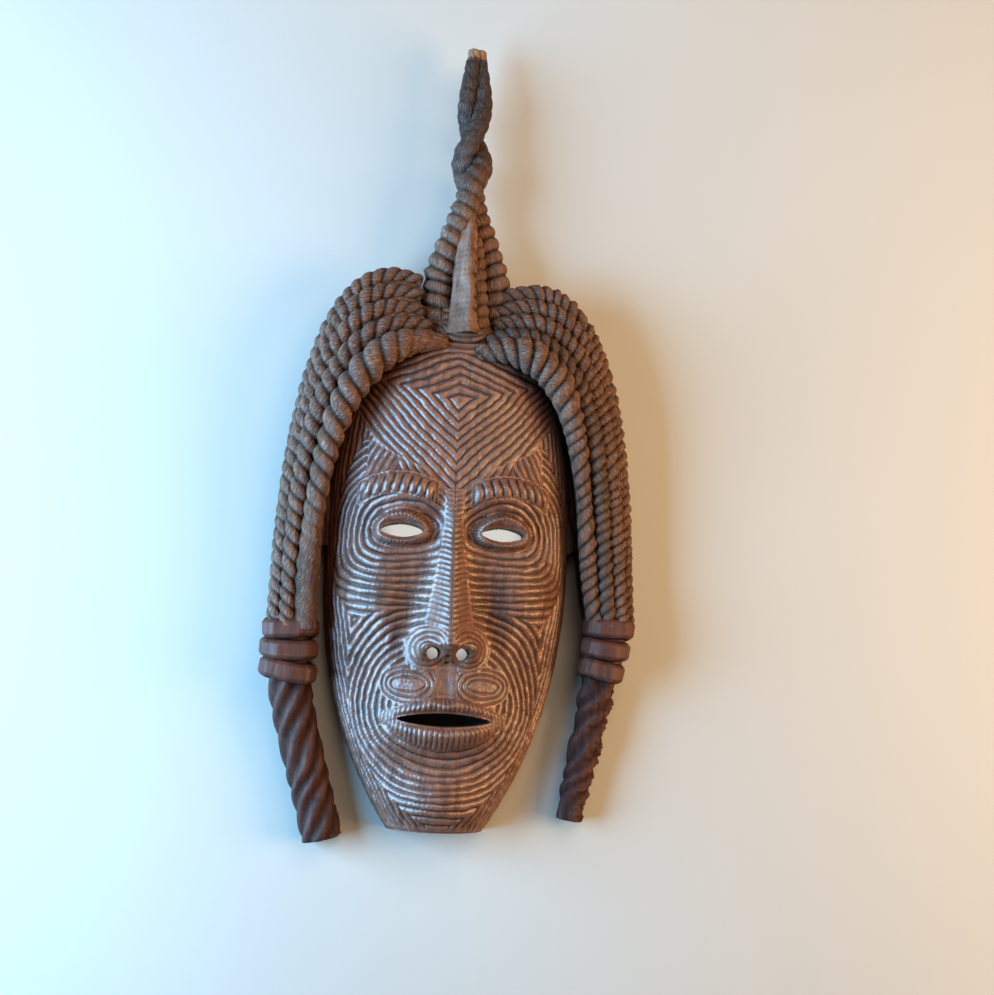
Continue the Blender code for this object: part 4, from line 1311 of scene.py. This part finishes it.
class MASK_OT_scalp(bpy.types.Operator):
    """Carves the low scalp behind the face and the middle of the crown"""

    bl_idname = "carved_mask.scalp"
    bl_label = "Carve the scalp"

    def execute(self, context):
        step, arch_length = 1.8 * DETAIL, 240
        rows = np.linspace(SCALP_BOTTOM, SCALP_TOP - 1, round((SCALP_TOP - 1 - SCALP_BOTTOM) / step))
        points, over = arched_rows(rows, round(arch_length / step), scalp_half_width, scalp_depth)
        points[:, :, 0] += SCALP_SHIFT
        y = points[:, :, 1].copy()
        strands = cut_profile(over + 0.12 * y + 1.2 * wander(over, y, 30, 51), 6.5)
        points = points - surface_normals(points) * (0.8 * strands)[:, :, None]
        notched = mound(points[:, :, 0], 0, 100, 0, 12, 1) * smooth_step(y, SCALP_BOTTOM + 40, SCALP_BOTTOM)
        points[:, :, 1] += SCALP_NOTCH * notched
        points[:, :, 2] = points[:, :, 2].clip(0)
        levels = np.linspace(0, 1, 8)[:-1]
        skirt = np.stack([points[0] * (1, 1, level) for level in levels])
        whole = np.concatenate([skirt, points])
        # Painted shade in the strand cuts.
        cut = np.concatenate([np.full((len(levels), whole.shape[1]), 0.05), strands])
        faces = grid_faces(*whole.shape[:2])
        flat = whole.reshape(-1, 3)
        middles = flat[faces].mean(axis=1)
        x, y = np.abs(middles[:, 0]), middles[:, 1]
        inside = (x < face_half_width(y) - 0.5 * WALL) & (y < SCALP_INSIDE_TOP)
        carved_piece("scalp", flat, faces[~inside], carved_wood("scalp_wood"), cut)
        columns, off_floor = 9, 0.1
        rows = np.linspace(SCALP_BOTTOM, SCALP_TOP - 1, 60)
        back, back_faces = [], []
        for sign in (-1, 1):
            first = len(back)
            for y in rows:
                inner = max(0.0, float(face_half_width(y)) - 0.5 * WALL) if y < SCALP_INSIDE_TOP else 0.0
                outer = scalp_half_width(y) + sign * SCALP_SHIFT
                lift = SCALP_NOTCH if sign > 0 and y < SCALP_BOTTOM + 2 else 0.0
                reach = max(outer, inner) - inner
                for k in range(columns + 1):
                    back.append((sign * (inner + reach * k / columns), y + lift, off_floor))
            back_faces += grid_faces(len(rows), columns + 1, first).tolist()
        carved_piece("scalp_back", back, back_faces, carved_wood("hollow_wood"))
        crown_piece("crown", 318, 352, 38.0, carved_wood("face_wood"))
        crown_piece("parting", 350, 383, 31.0, carved_wood("scalp_wood"))
        return {"FINISHED"}


class MASK_OT_locks(bpy.types.Operator):
    """Carves the twisted locks of both sides and the wood that they lie in"""

    bl_idname = "carved_mask.locks"
    bl_label = "Carve the locks"

    def execute(self, context):
        settings = context.scene.mask_hair
        for name, side in SIDES.items():
            lock_cradle(f"{name}_lock_cradle", side, settings, carved_wood("scalp_wood"))
            for number in range(LOCKS):
                front = number == 0
                rope(
                    f"{name}_lock_{number + 1}",
                    lock_route(side, number),
                    lock_radii(side, number, settings),
                    carved_wood("braid_wood" if number == side["dark_lock"] else "hair_wood"),
                    100 + number + 10 * side["sign"],
                    settings.strands,
                    side["bead_pitches"][number],
                    side["front_grooves"] if front else settings.strand_groove,
                    side["twist"],
                    side["roughness"],
                    12 * side["roughness"],
                    around=52 if front else 42,
                    stain=side["front_stain"] if front else (0, 0),
                )
            rope(
                f"{name}_inner_lock",
                inner_route(side),
                (6.2, 6.4, 6.2),
                carved_wood("hair_wood"),
                130 + side["sign"],
                2,
                side["inner_pitch"],
                side["inner_groove"],
                side["twist"],
                around=36,
            )
        return {"FINISHED"}


class MASK_OT_ties(bpy.types.Operator):
    """Carves the three bands round each bundle"""

    bl_idname = "carved_mask.ties"
    bl_label = "Carve the ties"

    def execute(self, context):
        wood = carved_wood("tie_wood")
        for name, side in SIDES.items():
            sign, x, y, half_width = side["sign"], side["x"], side["tie_y"], side["half_width"]
            lean, leans = math.radians(side["drift"]), side["leans"]
            for k in range(TIES):
                down = (k + 0.5) * TIE_PITCH
                at = x + down * math.sin(lean) * sign
                wide, high, seed = half_width + side["tie_swell"][k], TIE_HEIGHT + 1.2, 60 + k + 3 * sign
                tie(f"{name}_tie_{k + 1}", at, y - down, wide, high, leans[k], seed, wood)
            down = 0.5 * TIES * TIE_PITCH
            at = x + down * math.sin(lean) * sign
            core, high, front = half_width - 4, 2 * down - TIE_HEIGHT, TIE_FRONT - 7
            tie(f"{name}_tie_core", at, y - down, core, high, leans[0], 70 + sign, wood, front)
        return {"FINISHED"}


class MASK_OT_tails(bpy.types.Operator):
    """Carves the twisted tails under the ties"""

    bl_idname = "carved_mask.tails"
    bl_label = "Carve the tails"

    def execute(self, context):
        for name, side in SIDES.items():
            rope(
                f"{name}_tail",
                tail_route(side),
                side["tail_radii"],
                carved_wood("tail_wood"),
                80 + side["sign"],
                side["tail_strands"],
                side["tail_pitch"],
                TAIL_GROOVE,
                rough=side["tail_roughness"],
                waves=side["tail_waves"],
                around=96,
                flat_end=True,
                sharp=2.6,
            )
        return {"FINISHED"}


class MASK_OT_spire(bpy.types.Operator):
    """Carves the spire: two twisted strands, the plain lock in front of them and its collar"""

    bl_idname = "carved_mask.spire"
    bl_label = "Carve the spire"

    def execute(self, context):
        settings = context.scene.mask_hair
        wood = carved_wood("spire_wood")
        full, pitch = settings.spire_strand_radius / MM, settings.spire_bead_pitch / MM
        radii = full * np.array((1.22, 1.10, 1.02, 1.0, 0.90, 0.78, 0.70, 0.64, 0.44))
        grooves = (0.30, 0.30, 0.28, 0.24, 0.20, 0.15, 0.13, 0.12, 0.10)
        for name, first_turn, twist in (("left", 0, -1), ("right", 180, 1)):
            route, seed = spire_route(first_turn), 140 + twist
            rope(f"{name}_spire_strand", route, radii, wood, seed, 1, pitch, grooves, twist, 0.055, 1.1, 52)
        front_cone(wood)
        share = np.linspace(0, 1, 30)
        x, z = SPIRE_X + 9.2 - 4.5 * share, SPIRE_Z + 13.5 - 8 * share
        beads, sizes = np.stack([x, SPIRE_BASE - 2 + 72 * share, z], axis=1), (7.6, 7.2, 6.6, 5.8, 3.8)
        rope("cone_beads", beads, sizes, wood, 145, 1, 8.6, 0.24, 1, 0.06, 0.5, 40)
        around = np.linspace(-1, 1, 60)
        wood, sizes = carved_wood("scalp_wood"), (1.3, 1.9, 2.2, 1.9, 1.3)
        for ring, (reach, drop, height) in enumerate(((15.0, 5.0, 48.5), (17.5, 8.6, 47.5))):
            x = SPIRE_X - 1.5 + reach * np.sin(0.5 * math.pi * around)
            bend = np.abs(around) ** 2.4
            route = np.stack([x, SPIRE_BASE + 1 - drop * (1 - bend) + 6 * bend, height - 13 * bend], axis=1)
            rope(f"collar_{ring + 1}", route, sizes, wood, 150 + ring, 1, 30, 0.05, 1, 0.02, 0.2, 28)
        return {"FINISHED"}


# Stage

TARGET = (32.5, 232.0, 20.0)  # what the camera looks at
CAMERA_BACK, CAMERA_ROLL = (-0.105, -0.105, 1.0), 2.56  # from the target to the camera, and its tilt
SENSOR_WIDTH = 36.0
BULB, SKY, STUDIO, STUDIO_STRENGTH = (1.0, 0.80, 0.60), (0.92, 0.97, 1.0), (1.0, 0.94, 0.86, 1.0), 0.20
EXPOSURE = -1.18


def stage_point(x, y, z):
    """A place on the carver's lines, in the model's own frame."""
    return Vector(((x - MIDDLE[0]) * MM, (y - MIDDLE[1]) * MM, z * MM))


def place_floor(settings):
    """A large plain floor under the mask."""
    reach, below = 4.0, -0.0004
    corners = ((-reach, -reach), (reach, -reach), (reach, reach), (-reach, reach))
    mesh = bpy.data.meshes.new("floor")
    mesh.from_pydata([(x, y, below) for x, y in corners], [], [(0, 1, 2, 3)])
    floor = bpy.data.objects.new("floor", mesh)
    bpy.context.scene.collection.objects.link(floor)
    material = bpy.data.materials.new("floor_paint")
    material.use_nodes = True
    tree = material.node_tree
    shader = tree.nodes["Principled BSDF"]
    cloud = cloudy(tree, add(tree, "ShaderNodeTexCoord").outputs["Object"], 3.0, 5.0)
    colour = tuple(settings.floor_colour)
    paint = mixed(tree, between(tree, cloud, 0.3, 0.7), tuple(0.97 * c for c in colour), colour)
    tree.links.new(paint, shader.inputs["Base Color"])
    tree.links.new(between(tree, cloud, 0.3, 0.7, 0.62, 0.72), shader.inputs["Roughness"])
    mesh.materials.append(material)


def area_light(name, place, target, width, height, colour, power, spread=180):
    """A rectangular light at a place, turned to its target."""
    lamp = bpy.data.lights.new(name, "AREA")
    lamp.shape = "RECTANGLE"
    lamp.size, lamp.size_y = width, height
    lamp.color = tuple(colour)
    lamp.energy = power
    lamp.spread = math.radians(spread)
    light = bpy.data.objects.new(name, lamp)
    bpy.context.scene.collection.objects.link(light)
    light.location = place
    light.rotation_euler = (target - place).to_track_quat("-Z", "Y").to_euler()


def place_lights(settings, target):
    """Cool light from the left, warm light from the right, and pale light seen through the openings."""
    # Each light: its name, place from the target, width and height in metres, colour and watts
    lights = (
        ("window", (-0.98, -0.10, 0.40), 0.8, 1.0, settings.window_colour, 136.0),
        ("sky", (0.35, 0.65, 1.2), 1.0, 1.0, BULB, 27.0),
        ("lamp", (1.15, -0.10, 0.62), 0.7, 0.8, settings.lamp_colour, 50.0),
    )
    for name, away, width, height, colour, power in lights:
        area_light(name, target + Vector(away), target, width, height, colour, power)
    glows = (("eye_glow", EYE_Y + 4, 0.105, 0.030, 0.035), ("nostril_glow", NOSE_Y + 13, 0.036, 0.022, 0.008))
    for name, y, width, height, power in glows:
        place = stage_point(4.0, y, 20.0)
        area_light(name, place, place - Vector((0, 0, 1)), width, height, SKY, power, 70)
    world = bpy.data.worlds.new("studio")
    world.use_nodes = True
    world.node_tree.nodes["Background"].inputs["Color"].default_value = STUDIO
    world.node_tree.nodes["Background"].inputs["Strength"].default_value = STUDIO_STRENGTH
    bpy.context.scene.world = world


def place_camera(settings, target):
    """The camera above the mask, a little low and to the left, with the photograph's tilt."""
    camera = bpy.data.objects.new("camera", bpy.data.cameras.new("camera"))
    bpy.context.scene.collection.objects.link(camera)
    back, roll = Vector(CAMERA_BACK).normalized(), math.radians(CAMERA_ROLL)
    right = Vector((-math.sin(roll), math.cos(roll), 0.0)).cross(back).normalized()
    turned = Matrix((right, back.cross(right), back)).transposed().to_4x4()
    turned.translation = target + back * settings.camera_distance
    camera.matrix_world = turned
    camera.data.sensor_width = SENSOR_WIDTH
    camera.data.lens = SENSOR_WIDTH * settings.camera_distance / settings.view_width
    camera.data.clip_start = 0.05
    camera.data.dof.use_dof = False
    bpy.context.scene.camera = camera


class MASK_OT_stage(bpy.types.Operator):
    """Lays the mask on a pale floor under soft light, with the camera above it"""

    bl_idname = "carved_mask.stage"
    bl_label = "Set the stage"

    def execute(self, context):
        scene, settings = context.scene, context.scene.mask_stage
        target = stage_point(*TARGET)
        place_floor(settings)
        place_lights(settings, target)
        place_camera(settings, target)
        scene.view_settings.view_transform = "Standard"
        scene.view_settings.look = "Medium High Contrast"
        scene.view_settings.exposure = EXPOSURE
        return {"FINISHED"}


class MASK_PT_panel(bpy.types.Panel):
    """The steps of building the mask, with their sizes and colours."""

    bl_idname = "MASK_PT_panel"
    bl_label = "Carved mask"
    bl_space_type = "VIEW_3D"
    bl_region_type = "UI"
    bl_category = "Carved mask"

    def draw(self, context):
        column = self.layout.column(align=True)
        for operator in OPERATORS:
            column.operator(operator.bl_idname)
        for label, settings in (
            ("Lines", context.scene.mask_lines),
            ("Hair", context.scene.mask_hair),
            ("Wood", context.scene.mask_wood),
            ("Stage", context.scene.mask_stage),
        ):
            box = self.layout.box()
            box.label(text=label)
            for name in settings.__annotations__:
                box.prop(settings, name)


OPERATORS = (
    MASK_OT_face,
    MASK_OT_hollow,
    MASK_OT_scalp,
    MASK_OT_locks,
    MASK_OT_ties,
    MASK_OT_tails,
    MASK_OT_spire,
    MASK_OT_stage,
)
SETTINGS = {
    "mask_lines": CarvedLineSettings,
    "mask_hair": RopedHairSettings,
    "mask_wood": WoodSettings,
    "mask_stage": StageSettings,
}


def register():
    for group in SETTINGS.values():
        bpy.utils.register_class(group)
    for name, group in SETTINGS.items():
        setattr(bpy.types.Scene, name, PointerProperty(type=group))
    for operator in OPERATORS:
        bpy.utils.register_class(operator)
    bpy.utils.register_class(MASK_PT_panel)


def unregister():
    bpy.utils.unregister_class(MASK_PT_panel)
    for operator in reversed(OPERATORS):
        bpy.utils.unregister_class(operator)
    for name in SETTINGS:
        delattr(bpy.types.Scene, name)
    for group in reversed(list(SETTINGS.values())):
        bpy.utils.unregister_class(group)


def main():
    """Builds the mask and its stage step by step."""
    register()
    bpy.ops.carved_mask.face()
    bpy.ops.carved_mask.hollow()
    bpy.ops.carved_mask.scalp()
    bpy.ops.carved_mask.locks()
    bpy.ops.carved_mask.ties()
    bpy.ops.carved_mask.tails()
    bpy.ops.carved_mask.spire()
    bpy.ops.carved_mask.stage()


if __name__ == "__main__":
    main()
